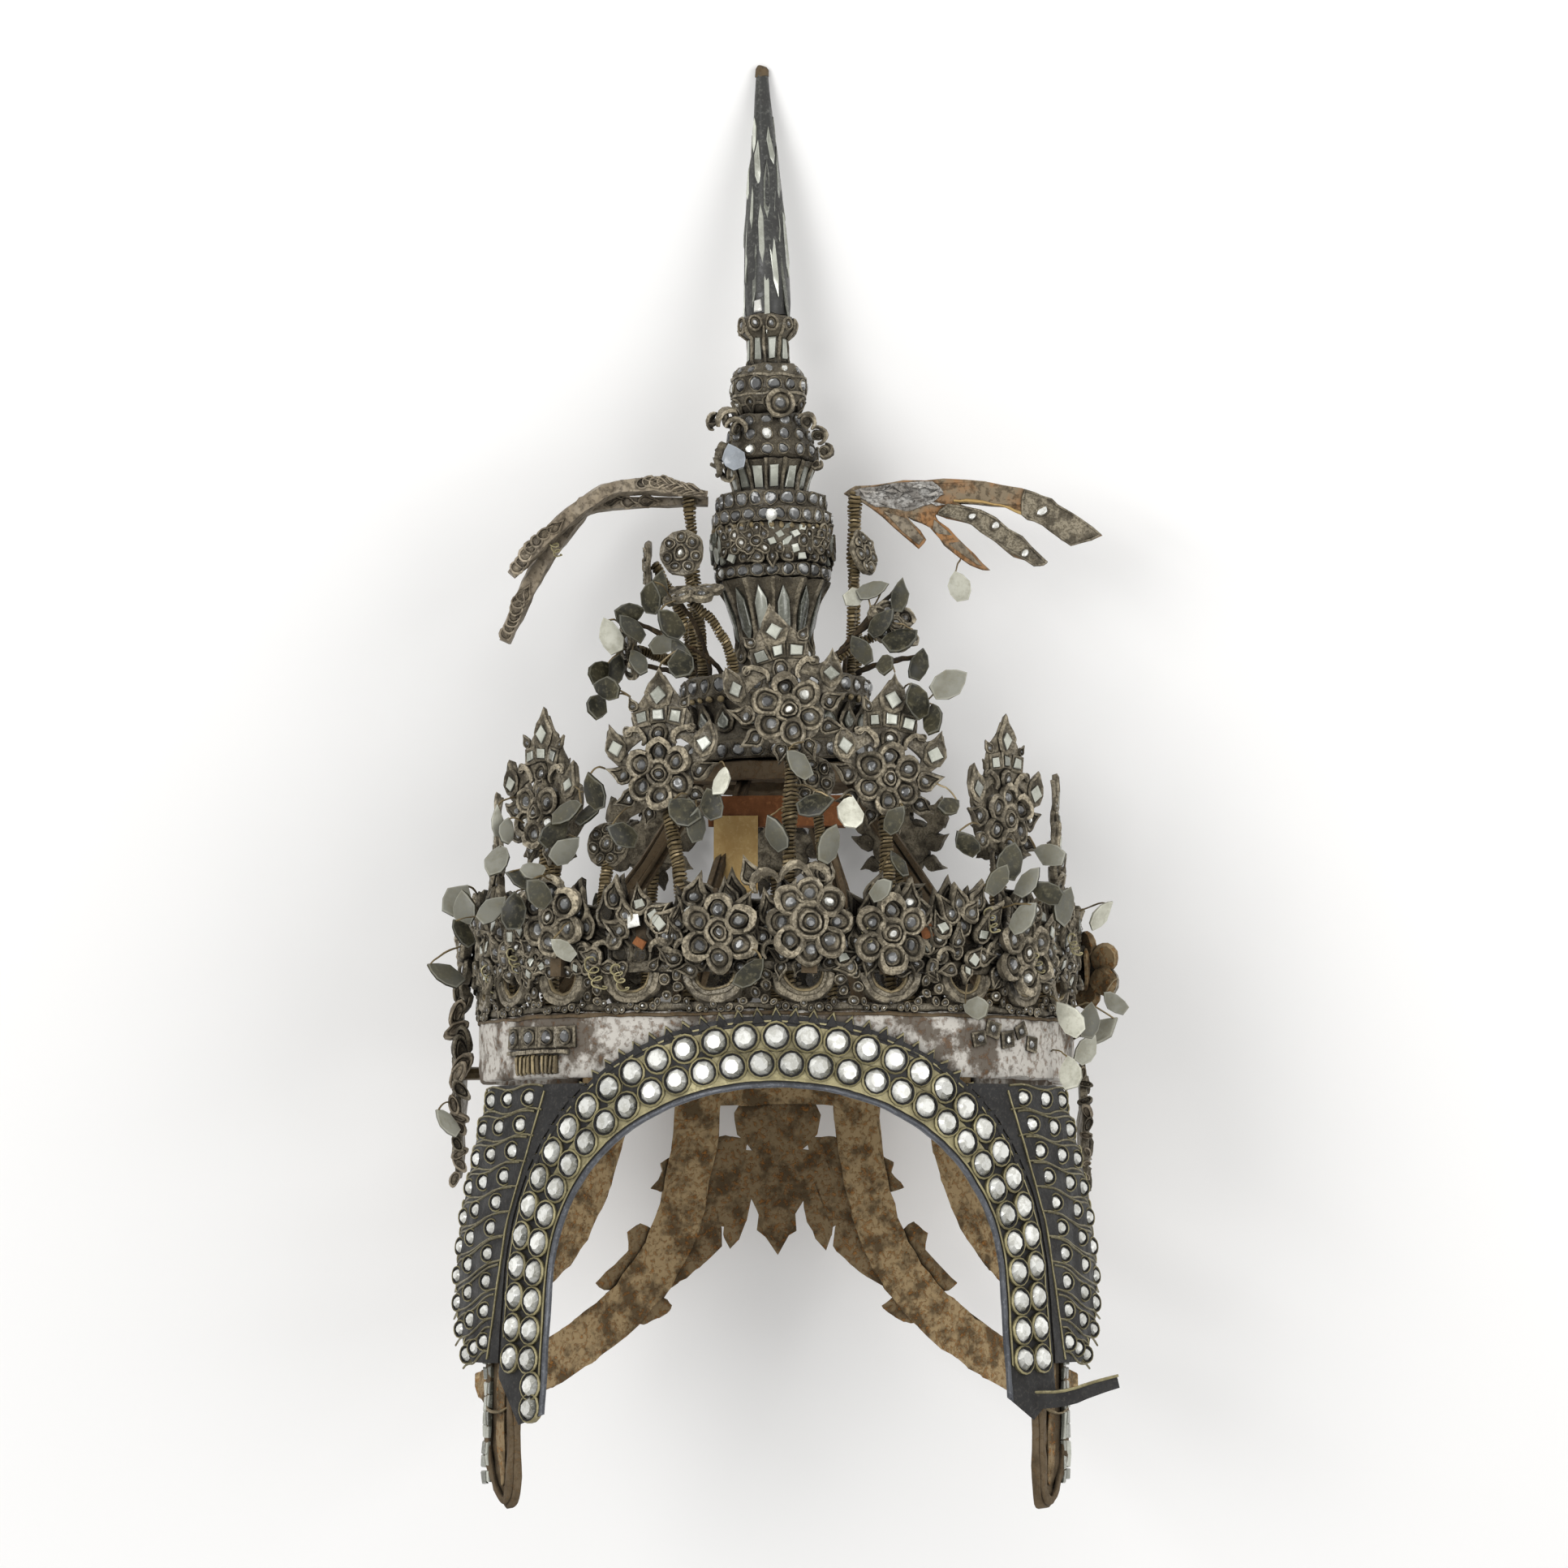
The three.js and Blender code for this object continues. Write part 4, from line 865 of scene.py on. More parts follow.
for offset, size, finish, depth in TOOTH_ROWS:
    for a, z in arch_path(offset, ARCH["leg_end"], ARCH["leg_end"], TOOTH_STEPS):
        if z > LOWEST_TOOTH:
            slope = math.degrees(math.atan2(z - ARCH["springing"], a)) - 90
            kit.put(TOOTH, finish, plate_spot(a, z, depth, slope + shade(-8, 8)), size, 0.4)
strip, fall = spline(TORN_STRIP, STRIP_STEPS), np.linspace(1.2, 0.7, STRIP_STEPS)
strip_ups = np.tile([0.1, 0.1, 1.0], (STRIP_STEPS, 1))
frontlet.add(swept(strip, STRIP_SECTION, strip_ups, taper=fall), PLATE)
frontlet.add(swept(strip + (0, -0.4, 2.2), circle(0.5, 6)), BRASS)
frontlet.add_all(kit.shapes()).finish("black_plate", "frontlet", worn=0.12)
print("frontlet stones:", len(stones))

# %% [markdown]
# A black panel covers each temple. Its outer edge is notched, and rows of three bright stones run across it
# between brass wires, lower towards the back. It could be cut from an outline, but a grid from edge to edge
# bends more smoothly. One is built, and the other is its mirror.

# %% Side panels
PANEL_EDGE = np.array([(-89, 66), (-76, 76), (-60, 85), (-46, 85), (-24, 76), (-2, 68)], float)
PANEL = dict(rows=10, top=-2.0, bottom=-89.0, notch=1.6, stone=2.05, thickness=1.4, cant=24.0)
PANEL_PITCH = (PANEL["top"] - PANEL["bottom"]) / PANEL["rows"]
PANEL_SLOPE = ((2, 40, 89), (0.0, 8.0, 20.0))  # depth below the band, slope of the rows
STONE_PARTS = (0.17, 0.5, 0.83)
WIRE_TONES = dict(stem=0.5, row=0.18)


def skin(front, rear):
    """A closed skin between a front and a rear grid of points."""
    rows, columns = front.shape[:2]
    index = np.arange(rows * columns).reshape(rows, columns)
    rings = np.hstack([index, index[:, ::-1] + index.size]).ravel()
    faces = [tuple(rings[list(face)].tolist()) for face in capped(rows, 2 * columns)]
    return Shape(np.vstack([front.reshape(-1, 3), rear.reshape(-1, 3)]), faces)


def ridge(points, z, radius, sides=6, closed=False):
    """A round wire that lies in a face frame's plane, lifted to a height above it."""
    line = np.column_stack([np.asarray(points, float), np.full(len(points), z)])
    return swept(line, circle(radius, sides), np.tile([0, 0, 1.0], (len(line), 1)), closed)


def panel_inner(z):
    """Arc length of the frontlet's outer edge at a height."""
    wide, tall = ARCH["half_width"] + PLATE_WIDTH, ARCH["rise"] + PLATE_WIDTH
    rise = max(0.0, z - ARCH["springing"]) / tall
    return wide * math.sqrt(max(0.0, 1 - rise * rise)) + 0.6


def panel_outer(z):
    """Arc length of the notched outer edge at a height."""
    plain = math.radians(np.interp(z, PANEL_EDGE[:, 0], PANEL_EDGE[:, 1])) * FLAT_RADIUS
    part = (PANEL["top"] - z) / PANEL_PITCH
    return plain - PANEL["notch"] * (1 - abs(math.sin(math.pi * part)))


def panel_stem(z):
    """Arc length of the brass stem that parts the panel from the frontlet's margin."""
    return float(np.interp(z, [-89, -46, -2], [101, 96, 80]))


def panel_row(kit, row):
    """The stones and edge curls of one row; gives back its two wires."""
    z = PANEL["top"] - PANEL_PITCH * (row + 0.5)
    inner, outer, stone = panel_stem(z), panel_outer(z), PANEL["stone"]
    middle, fall = (inner + outer) / 2, math.tan(math.radians(np.interp(-z, *PANEL_SLOPE)))
    for part in STONE_PARTS:
        arc = inner + (outer - inner) * part
        spot = plate_spot(arc, z - fall * (arc - middle), 1.7) @ turn(-PANEL["cant"], "Y")
        # A black collar at tone 0.1: black plate, and painted shade in the gap between stone and ring.
        kit.put(COLLAR, PLATE, spot, stone * 1.04, 0.1)
        kit.put(RING, BRASS, spot, (stone * 1.4, stone * 1.4, stone * 1.7), 0.6)
        kit.put(BRIGHT_GEM, GLASS, spot @ turn(shade(-45, 45), "Z"), stone, shade(0.4, 0.75))
    wires = []
    for edge in (-0.5, 0.46):
        arcs = np.linspace(inner, outer - 0.6, 13)
        wave = 0.7 * np.sin(math.pi * 3 * (arcs - inner) / (outer - inner))
        wires.append(np.column_stack([arcs, z + edge * PANEL_PITCH * 0.9 - fall * (arcs - middle) + wave]))
    for lift in (-2.4, 1.6):
        kit.put(CRESCENT, BRASS, plate_spot(outer - 0.8, z + lift, 1.2, -90), (1.5, 1.2, 1.6), 0.5)
    return wires


def side_panel(side, name):
    panel, kit = Piece(name + "_plate"), Kit()
    levels = np.linspace(PANEL["bottom"], PANEL["top"], 6 * PANEL["rows"] + 1)
    grid = [[(a, z, 0) for a in np.linspace(panel_inner(z), panel_outer(z), 7)] for z in levels]
    grid = np.array(grid, float)
    bend = bent(PLATE_RADIUS, PLATE_FLARE)
    panel.add(skin(grid + np.array([0, 0, PANEL["thickness"]]), grid).mapped(bend), PLATE)
    stem = np.array([(panel_stem(z), z) for z in np.linspace(-88, -4, 22)])
    panel.add(ridge(stem, 1.5, 0.38, 5).mapped(bend).toned(WIRE_TONES["stem"]), BRASS)
    for row in range(PANEL["rows"]):
        for line in panel_row(kit, row):
            panel.add(ridge(line, 1.5, 0.38, 5).mapped(bend).toned(WIRE_TONES["row"]), BRASS)
    panel.add_all(kit.shapes()).moved(Matrix.Diagonal((side, 1, 1, 1)))
    return panel.finish("black_plate", name, worn=0.15)


side_panel(-1, "side_panel_left")
side_panel(1, "side_panel_right")
print("panel stones:", 2 * len(STONE_PARTS) * PANEL["rows"])

# %% [markdown]
# Many parts are sawn from board or sheet. A grid can't follow a free outline, so these plates start from
# the outline, as a maker would: a filled 2D curve with a thickness and a small bevel, turned into a mesh.
# Cutting corners again and again rounds the outline.

# %% Plates cut from an outline
def rounded(points, times=2):
    """A closed outline with its corners cut again and again."""
    points = np.array(points, float)
    for _ in range(times):
        after = np.roll(points, -1, 0)
        points = np.stack([0.75 * points + 0.25 * after, 0.25 * points + 0.75 * after], 1).reshape(-1, 2)
    return points


MERGE_DISTANCE = 0.01


def cut_plate(outline, thickness, holes=(), bevel=0.4, soft=0):
    """A flat plate in x and y with rounded edges, cut from an outline; its back is at z 0."""
    curve = bpy.data.curves.new("outline", "CURVE")
    curve.dimensions, curve.fill_mode = "2D", "BOTH"
    curve.extrude = thickness / 2 - bevel
    curve.bevel_depth, curve.bevel_resolution, curve.offset = bevel, 1, -bevel
    for points in (outline, *holes):
        points = rounded(points, soft)
        line = curve.splines.new("POLY")
        line.points.add(len(points) - 1)
        corners = np.column_stack([points, np.zeros(len(points)), np.ones(len(points))])
        line.points.foreach_set("co", corners.ravel())
        line.use_cyclic_u = True
    return evaluated(linked("outline", curve), MERGE_DISTANCE).moved(shift(0, 0, thickness / 2))


print("corners of a square rounded twice:", len(rounded(SQUARE_LINE)))

# %% [markdown]
# Ear plates are leaf-shaped boards with bosses that stand edge-on at the sides. From the front only the
# edge shows, crusted with lacquer and splinters of grey wood. The crust could be sculpted, but petals
# turned every way along the edge give the same broken line.

# %% Ear plates
EAR_FRONT, EAR_REAR, CRUST_STEP = 10.0, 44.0, 4.2
EAR_BOSSES = ((0, 0.2, 4.4), (0, 0.4, 5), (-9, 0.4, 3.6), (9.5, 0.42, 3.8), (0, 0.6, 4), (0, 0.78, 3))
CRUST_SIZES = ((0, 0.4, 0.6, 1), (0.5, 0.6, 1, 0.7))  # part of the height, size of the lumps
PEG = dict(band_radius=97.0, gap=0.4, z=4.0, radius=2.2)


def ear_plate(name, side, offset, low, high, crust):
    tall, front, rear, mid = high - low, EAR_FRONT, EAR_REAR, (EAR_FRONT + EAR_REAR) / 2
    outline = [(front + 6, low), (rear - 8, low + tall * 0.12), (rear, low + tall * 0.45),
               (mid + 8, low + tall * 0.75), (mid, high), (mid - 8, low + tall * 0.72),
               (front, low + tall * 0.4)]
    frame_in = Matrix(((0, 0, 1, offset), (1, 0, 0, 0), (0, 1, 0, 0), (0, 0, 0, 1)))
    plate, kit, edge_kit = Piece(name + "_leaf"), Kit(), Kit()
    plate.add(cut_plate(outline, 2.2, bevel=0.5, soft=2), LACQUER, frame_in)
    for dx, part, size in EAR_BOSSES:
        kit.boss(flat(mid + dx, low + tall * part, 2.3), size)
    plate.add_all(kit.shapes(), frame_in)
    for z in np.arange(high, low, -CRUST_STEP):
        part = (z - low) / tall
        edge = np.interp(part, [0, 0.4, 0.72, 1], [front + 6, front, mid - 8, mid])
        size = crust * np.interp(part, *CRUST_SIZES)
        spot = shift(offset + 1.2 + shade(-0.5, 0.5) * size, edge - shade(0, 2), z + shade(-1, 1)) @ FACE
        spot = spot @ turn(shade(-180, 180), "Z") @ turn(shade(-40, 40), "Y")
        finish = rng.choice((LACQUER, DRIFTWOOD))
        edge_kit.put(PETAL, finish, spot, (0.7 * size, 1.3 * size, size), shade(0.2, 0.45))
    plate.add_all(edge_kit.shapes())
    inner = math.sqrt(PEG["band_radius"] ** 2 - mid**2) + PEG["gap"]
    peg = np.array([[inner, mid, PEG["z"]], [offset + 1.0, mid, PEG["z"]]])
    plate.add(swept(peg, circle(PEG["radius"])), WIRE)
    return plate.moved(Matrix.Diagonal((side, 1, 1, 1))).finish("aged_gilt", name)


ear_plate("ear_plate_left", -1, 104.0, -34, 36, 4.2)
ear_plate("ear_plate_right", 1, 100.6, -42, 12, 2.2)
print("bosses on each ear plate:", len(EAR_BOSSES))

# %% [markdown]
# Ear boards hang below the side panels: slats shaped like a boat with a raised rim, a rusty strip in the
# hollow, a wire tie and pale mosaic on the outer edge. The hollow could be a boolean, but a plate with a
# hole, laid on the first, is how such a rim is built up.

# %% Ear boards
BOARD = dict(bearing=60, top=-62.0, bottom=-135.0, half=9.2, tip=4.0, setback=0.8, thickness=4.4)
TIE = dict(z=-104, radius=0.45, steps=24)
TILE_COLUMNS = ((1.0, 1.3), (3.6, 0.7))  # distance from the edge, half width


def ear_board(name, side):
    top, bottom, half = BOARD["top"], BOARD["bottom"], BOARD["half"]
    tall, tip = top - bottom, -side * BOARD["tip"]
    heel, foot, hip = bottom + 0.04 * tall, bottom + 0.2 * tall, bottom + 0.55 * tall
    outline = np.array([(tip - half / 2, heel), (tip, bottom), (tip + half / 2, heel), (half, foot),
                        (half, hip), (0.6 * half, top), (-0.6 * half, top), (-half, hip), (-half, foot)])
    reach = PLATE_RADIUS - PLATE_FLARE * top - BOARD["setback"]
    place = turn(side * BOARD["bearing"], "Z") @ shift(0, -reach + BOARD["thickness"], 0) @ FACE
    board, kit = Piece(name + "_slat"), Kit()
    board.add(cut_plate(outline, 3.0, bevel=0.6, soft=2), OLD_WOOD, place)
    centre = np.array([tip * 0.5, (top + bottom) / 2])
    rim, hollow, strip = ((outline - centre) * np.array(part) + centre
                          for part in ((0.97, 0.97), (0.66, 0.9), (0.3, 0.8)))
    board.add(cut_plate(rim, 1.6, [hollow], 0.4, 2), OLD_WOOD, place @ shift(0, 0, 2.8))
    board.add(cut_plate(strip, 0.8, bevel=0.3, soft=2).toned(0.35), RUST, place @ shift(0, 0, 2.8))
    sweep = np.linspace(0, 2 * math.pi, TIE["steps"], endpoint=False)
    tie = [half * 1.03 * np.cos(sweep), TIE["z"] + 0.8 * np.sin(3 * sweep), 2.2 + 2.8 * np.sin(sweep)]
    board.add(swept(np.stack(tie, 1), circle(TIE["radius"], 6), closed=True), WIRE, place)
    for z in np.arange(-88, -126, -4.6):
        for edge, wide in TILE_COLUMNS:
            size = (wide, shade(1.7, 2.4), 2.0)
            kit.mirror(place @ flat(side * (half - edge), z + shade(-0.5, 0.5), 4.0), size, 0.1, 0.75)
    return board.add_all(kit.shapes()).finish("wood", name)


ear_board("ear_board_left", -1)
ear_board("ear_board_right", 1)
print("ear boards", BOARD["top"] - BOARD["bottom"], "mm long")

# %% [markdown]
# The nape guard is one iron sheet sawn into curved strips, leaf buds and a palmette. It is drawn as seen
# from the front, and only half is needed because it is symmetrical. A strip is a smooth line with a width,
# and a leaf curves through its few points.

# %% Outlines of the nape guard
NAPE_STRIPS = (  # half width, middle line
    (7.6, [(-27, 4), (-29, -22), (-36, -50), (-50, -72), (-72, -90), (-97, -102)]),
    (7.0, [(-55, 4), (-61, -22), (-70, -46), (-82, -62), (-97, -72)]),
)
NAPE_PALMETTE = [
    (-12, -3), (-14.9, -8), (-13.5, -15), (-8.5, -20.5), (-14, -20.8), (-17.4, -25), (-19.5, -32),
    (-19, -44), (-18.6, -50), (-16.6, -54.5), (-13.4, -51), (-10.6, -45), (-9, -37.4), (-6.2, -42.5),
    (-6.8, -48), (-4, -50.2), (0, -56.4),
]
NAPE_LEAVES = (
    [(-22, -36), (-33, -54), (-36.5, -67.5), (-28, -62), (-19, -53.5)],
    [(-44, -68), (-36, -74), (-38, -76.5), (-46, -80), (-58, -77)],
    [(-32, -20), (-40, -25), (-39.4, -28), (-43.6, -33.5), (-38, -35.5), (-32, -34)],
    [(-41, -50), (-47, -45.5), (-51.5, -49), (-51, -55), (-61.5, -66), (-57, -68.5), (-46, -68)],
    [(-10, -17), (-18, -15.4), (-24, -18), (-26, -34), (-24, -44), (-18.6, -47), (-14, -34)],
)
NAPE_HOOP = [(-66, -5), (66, -5), (66, 9), (-66, 9)]
FLIP = np.array([-1, 1])


def leafy(points, steps=3):
    """A closed outline that curves through its points."""
    points = np.array(points, float)
    before, after, later = (np.roll(points, k, 0) for k in (1, -1, -2))
    rows = []
    for u in np.arange(steps) / steps:
        swing = swing_between(before, points, after, later, u)
        rows.append(points + 0.15 * swing + 0.7 * (after - points) * u)
    return np.stack(rows, 1).reshape(-1, 2)


def strip_outline(line, half):
    line = spline(line, 28)
    along = np.gradient(line, axis=0)
    along /= np.linalg.norm(along, axis=1)[:, None]
    beside = np.stack([-along[:, 1], along[:, 0]], 1) * half
    return np.vstack([line + beside, (line - beside)[::-1]])


strips = [strip_outline(line, half) for half, line in NAPE_STRIPS]
strips += [outline * FLIP for outline in strips] + [np.array(NAPE_HOOP, float)]
leaves = [leafy(leaf) for leaf in NAPE_LEAVES]
palmette_half = np.array(NAPE_PALMETTE)
leaves += [leaf * FLIP for leaf in leaves] + [np.vstack([palmette_half, (palmette_half[:-1] * FLIP)[::-1]])]
print("nape guard:", len(strips), "strips and", len(leaves), "leaves")

# %% [markdown]
# The sheet bends round the neck and flares. Bending flat cut-outs would stretch their edges, so a fine
# flared wall is turned, and the outlines, carried straight back, cut it with a boolean. Every edge then
# follows the bend. The strips are paler than the rusty leaves.

# %% Nape guard
NAPE = dict(radius=90.3, flare=0.075, top=9.0, bottom=-112.0, levels=12, sides=144)
CUT_FROM, CUT_TO = 5.0, 130.0
NAPE_SHEETS = ((strips, -0.5, 1.6, 0.72), (leaves, 0.5, 0.9, 0.34))  # outlines, inset, thickness, tone


def prism(outline):
    """An outline in x and z carried back along y."""
    verts = [(x, y, z) for y in (CUT_FROM, CUT_TO) for x, z in outline]
    return Shape(verts, capped(2, len(outline)))


def solid_object(shape, name):
    mesh = shape.mesh(name)
    faced_outward(mesh)
    return linked(name, mesh)


def common_part(wall, cutter):
    """What a wall and a cutter share."""
    a, b = solid_object(wall, "wall"), solid_object(cutter, "cutter")
    cut = a.modifiers.new("cut", "BOOLEAN")
    cut.operation, cut.object, cut.solver, cut.use_self = "INTERSECT", b, "EXACT", True
    shape = evaluated(a)
    bpy.data.objects.remove(b)
    return shape


nape = Piece("nape_sheet")
for outlines, inset, thick, tone in NAPE_SHEETS:
    levels = np.concatenate([np.linspace(NAPE["bottom"], 0, NAPE["levels"]), [NAPE["top"]]])
    inner_wall = [(NAPE["radius"] + inset + NAPE["flare"] * max(0, -z), z) for z in levels]
    outer_wall = [(r + thick, z) for r, z in inner_wall[::-1]]
    wall = turned(inner_wall + outer_wall, NAPE["sides"], closed=True)
    nape.add(common_part(wall, joined([prism(outline) for outline in outlines])).toned(tone), RUST)
nape.finish("rusty_sheet", "nape_guard", sharp=50, worn=0.5)
print("nape guard cut from", len(strips) + len(leaves), "outlines")

# %% [markdown]
# The crest gallery on the band repeats one bay: two rails, a scroll like a U and a bud-shaped board behind.
# Modelling it round would mean turning every part, so a bay is laid out flat, with x as arc length and y as
# height, and is bent round the band.

# %% One bay of the crest
CREST = dict(bays=22, phase=5.0, radius=93.8, depth=3.4)
BAY_ANGLE = 360 / CREST["bays"]
BAY_WIDTH = 2 * math.pi * FLAT_RADIUS / CREST["bays"]
BAY_STEPS, BAY_OVERLAP = 9, 0.02
RAILS = ((21.4, 1.1), (34.0, 1.9))  # height, half width
RAIL_SECTION = np.array([(-1.0, -1.6), (1.0, -1.6), (1.0, 1.0), (0.5, 1.5), (-0.5, 1.5), (-1.0, 1.0)])
SCROLL_ROLLS = ((9.2, 1.7, LACQUER), (7.4, 1.0, LACQUER), (6.3, 0.6, GILT))  # reach, thickness, finish
SCROLL_TOP, SCROLL_STEPS = 32.2, 13
BUD = ((-5.4, 35), (-6.8, 42), (-6.6, 47), (-3.4, 53), (0, 59.6), (3.4, 53), (6.6, 47), (6.8, 42), (5.4, 35))


def crest_bay():
    half, middle = BAY_WIDTH / 2 + BAY_OVERLAP, CREST["depth"] / 2
    across = np.linspace(-half, half, BAY_STEPS)
    ups = np.tile([0, 0, 1.0], (BAY_STEPS, 1))
    shapes = []
    for z, wide in RAILS:
        line = np.column_stack([across, np.full(BAY_STEPS, z), np.full(BAY_STEPS, middle)])
        shapes.append((swept(line, RAIL_SECTION * (wide, 1), ups, tone=0.3), LACQUER))
    sweep = np.linspace(math.pi * 1.02, math.pi * 1.98, SCROLL_STEPS)
    for reach, thick, finish in SCROLL_ROLLS:
        line = np.stack([reach * np.cos(sweep), SCROLL_TOP + (reach - 0.3) * np.sin(sweep)], 1)
        shapes.append((ridge(line, middle + 0.6, thick), finish))
    shapes.append((cut_plate(BUD, 1.8, bevel=0.4, soft=1).moved(shift(0, 0, 0.6)), OLD_WOOD))
    return shapes


BAY = crest_bay()
print("crest bays:", CREST["bays"], "each", round(BAY_WIDTH, 1), "mm wide")

# %% [markdown]
# Over the rails grows a thicket of ridged discs with leaf tips, each with a dark stone or a mirror, and
# ring bosses sit between the scrolls. Placing each by hand would take a day, so rows with a height, a count
# and a lean give the pattern, and chance moves some and drops others, as knocks have.

# %% Foliage of the crest
FOLIAGE_ROWS = (  # height, leaves, half width of the row, size, lean of the tips
    (33.6, 6, 12.8, 2.5, 180), (37.4, 5, 12.2, 3.1, 100), (41.6, 5, 11.6, 3.5, 46), (46.0, 4, 10.6, 3.7, 40),
    (50.2, 3, 8.6, 3.8, 30), (54.2, 2, 4.6, 3.7, 16),
)
# Dark sprouts behind the foliage: painted shade that fills the gaps between the leaves.
BACK_ROWS = ((38, 4, 11, 5.0), (44, 4, 11, 5.0), (50, 3, 9, 4.8), (55, 2, 5, 4.4))
RING_CLUSTER = (  # x, height, size
    (-12.4, 23.6, 1.5), (-11.6, 27.4, 1.8), (-12.2, 31.2, 2.0), (12.4, 25.4, 1.6), (11.8, 29.4, 1.9),
    (9.6, 22.8, 1.2), (-9.4, 22.9, 1.2), (0.0, 22.2, 1.1), (-5.2, 21.0, 1.3), (5.0, 21.2, 1.4),
    (2.6, 20.8, 1.1), (-2.6, 20.8, 1.0), (-7.6, 20.8, 1.1), (7.8, 20.9, 1.2),
)
WORN_BAYS = {-2: 0.55, 2: 0.75, -4: 0.8, 5: 0.7}
WHOLE_BAY = 0.95


def crest_spot(index, x, z, depth, angle=0.0, tip=0.0):
    bearing = CREST["phase"] + BAY_ANGLE * index + math.degrees(x / FLAT_RADIUS)
    return facing(bearing, CREST["radius"] + CREST["depth"] + depth, z, tip) @ turn(angle, "Z")


def crest_foliage(kit, index, inward):
    """Discs and leaf tips over a bay; those at the back are pressed inward by the table."""
    left = WORN_BAYS.get(index, WHOLE_BAY)
    for x, z, size in RING_CLUSTER:
        kit.boss(crest_spot(index, x + shade(-0.6, 0.6), z + shade(-0.5, 0.5), 0.3), size, 0.1)
    for z, count, half, size, lean in FOLIAGE_ROWS:
        for x in np.linspace(-half, half, count):
            if rng.random() > left:
                continue
            angle = -lean * math.copysign(1, x) * shade(0.3, 1) + shade(-30, 30)
            across, height = x + shade(-1.4, 1.4), z + shade(-1.4, 1.4)
            spot = crest_spot(index, across, height, shade(0.2, 2.2) - inward, angle, shade(-24, 16))
            if rng.random() < 0.2:
                kit.put(SPROUT, LACQUER, spot, size, shade(0.4, 0.7))
                kit.mirror(spot @ shift(0, 0, 0.26 * size), size * 0.42, 0.1, 0.8)
            else:
                kit.boss(spot, size * shade(0.85, 1.15), 0.05, SPROUT)
    # Painted shade: the dark sprouts behind the foliage.
    for z, count, half, size in BACK_ROWS:
        for x in np.linspace(-half, half, count):
            if rng.random() < left:
                angle = shade(-50, 50) - 4 * x
                across, height = x + shade(-1, 1), z + shade(-1, 1)
                spot = crest_spot(index, across, height, shade(-2.4, -1.2), angle, shade(-10, 10))
                kit.put(SPROUT, LACQUER, spot, (size, size, size * 0.8), shade(0.1, 0.32))
    for side in (-1, 1):
        across, height = side * (9.8 + shade(-0.8, 0.8)), 37.6 + shade(-1, 2)
        spot = crest_spot(index, across, height, 1.4, side * shade(-60, 30))
        kit.put(CRESCENT, LACQUER, spot, 3.0, shade(0.45, 0.65))


print("leaves over a whole bay:", sum(row[1] for row in FOLIAGE_ROWS + BACK_ROWS))

# %% [markdown]
# The gallery is put together in two halves, front and back, as it is on the crown, so that each half
# stays a piece of moderate size. A few half-moons stand over the middle of the front, and three loose
# tiles have lodged in the leaves there.

# %% Crest gallery
HALF_BAYS = 11
PRESSED_BAYS, PRESSED = range(9, 14), 2.4
MOONS = (  # x, height, size, angle
    (-6.6, 62.5, 4.2, 24), (2.4, 64.2, 4.6, -8), (8.4, 64.6, 4.0, -30), (-11.6, 65.4, 3.4, 20),
    (11.4, 66.0, 3.2, -12),
)
LODGED_TILES = (  # finish, bay, x, height, depth, angle, size, tone
    (WOOD, 1, 12, 45, 1.8, 20, (3.0, 2.2, 2), 0.6), (WOOD, -2, 4, 41, 1.8, -30, (2.2, 1.6, 2), 0.6),
    (GLASS, -2, 2, 48, 2.2, 6, (1.9, 1.9, 2), 0.9),
)

for name, first in (("crest_front", -5), ("crest_back", 6)):
    crest, kit = Piece(name + "_gallery"), Kit()
    for index in range(first, first + HALF_BAYS):
        place = turn(CREST["phase"] + BAY_ANGLE * index, "Z")
        for shape, finish in BAY:
            crest.add(shape.mapped(bent(CREST["radius"])), finish, place)
        crest_foliage(kit, index, PRESSED if index in PRESSED_BAYS else 0.0)
    if name == "crest_front":
        for x, z, size, angle in MOONS:
            template = CRESCENT if abs(x) < 9 else SPROUT
            kit.put(template, LACQUER, crest_spot(0, x - 5, z - 4, 1.4, angle), size, 0.6)
        for finish, bay, x, z, depth, angle, size, tone in LODGED_TILES:
            kit.put(SQUARE, finish, crest_spot(bay, x, z, depth, angle), size, tone)
    crest.add_all(kit.shapes()).finish("aged_gilt", name)
    print(name, "has", sum(len(spots) for spots in kit.spots.values()), "small ornaments")

# %% [markdown]
# Flowers of six or eight ridged petals, each with a small dark stone, stand in front of the crest on flat
# tabs. A ring of equal petals would look pressed by a machine, so each is tilted on its own. The flower at
# the far right hangs by its wire and shows its rusty back.

# %% Crest flowers
FLOWERS = (  # bearing, height, petals, radius
    (5.8, 47, 8, 13), (-9.9, 43.5, 6, 11.8), (20.3, 43.5, 6, 11.8), (-43.5, 50, 6, 12.4), (50, 39, 6, 12.4),
    (88, 37, 6, 12), (-86, 40, 6, 12), (160, 46, 6, 12), (-160, 46, 6, 12),
)
FLOWER_SEAT = dict(front=100.4, back=98.0, back_from=120)
TURNED_FLOWER, TURNED_BY = 5, 56
PETAL_BRIGHT = 0.15
TAB = dict(width=4.6, depth=2.8, y=-98.95, foot=31.0, gap=0.5)
FLOWER_DISC = ((0.3, 0.0), (0.6, 0.2), (0.62, 1.0), (0.5, 1.4), (0.3, 1.6))  # part of the radius, height


def box(size, at):
    corners = np.array([[x, y, z] for x in (-0.5, 0.5) for y in (-0.5, 0.5) for z in (-0.5, 0.5)])
    faces = [(0, 1, 3, 2), (4, 6, 7, 5), (0, 4, 5, 1), (2, 3, 7, 6), (0, 2, 6, 4), (1, 5, 7, 3)]
    return Shape(corners * np.array(size) + np.array(at), faces)


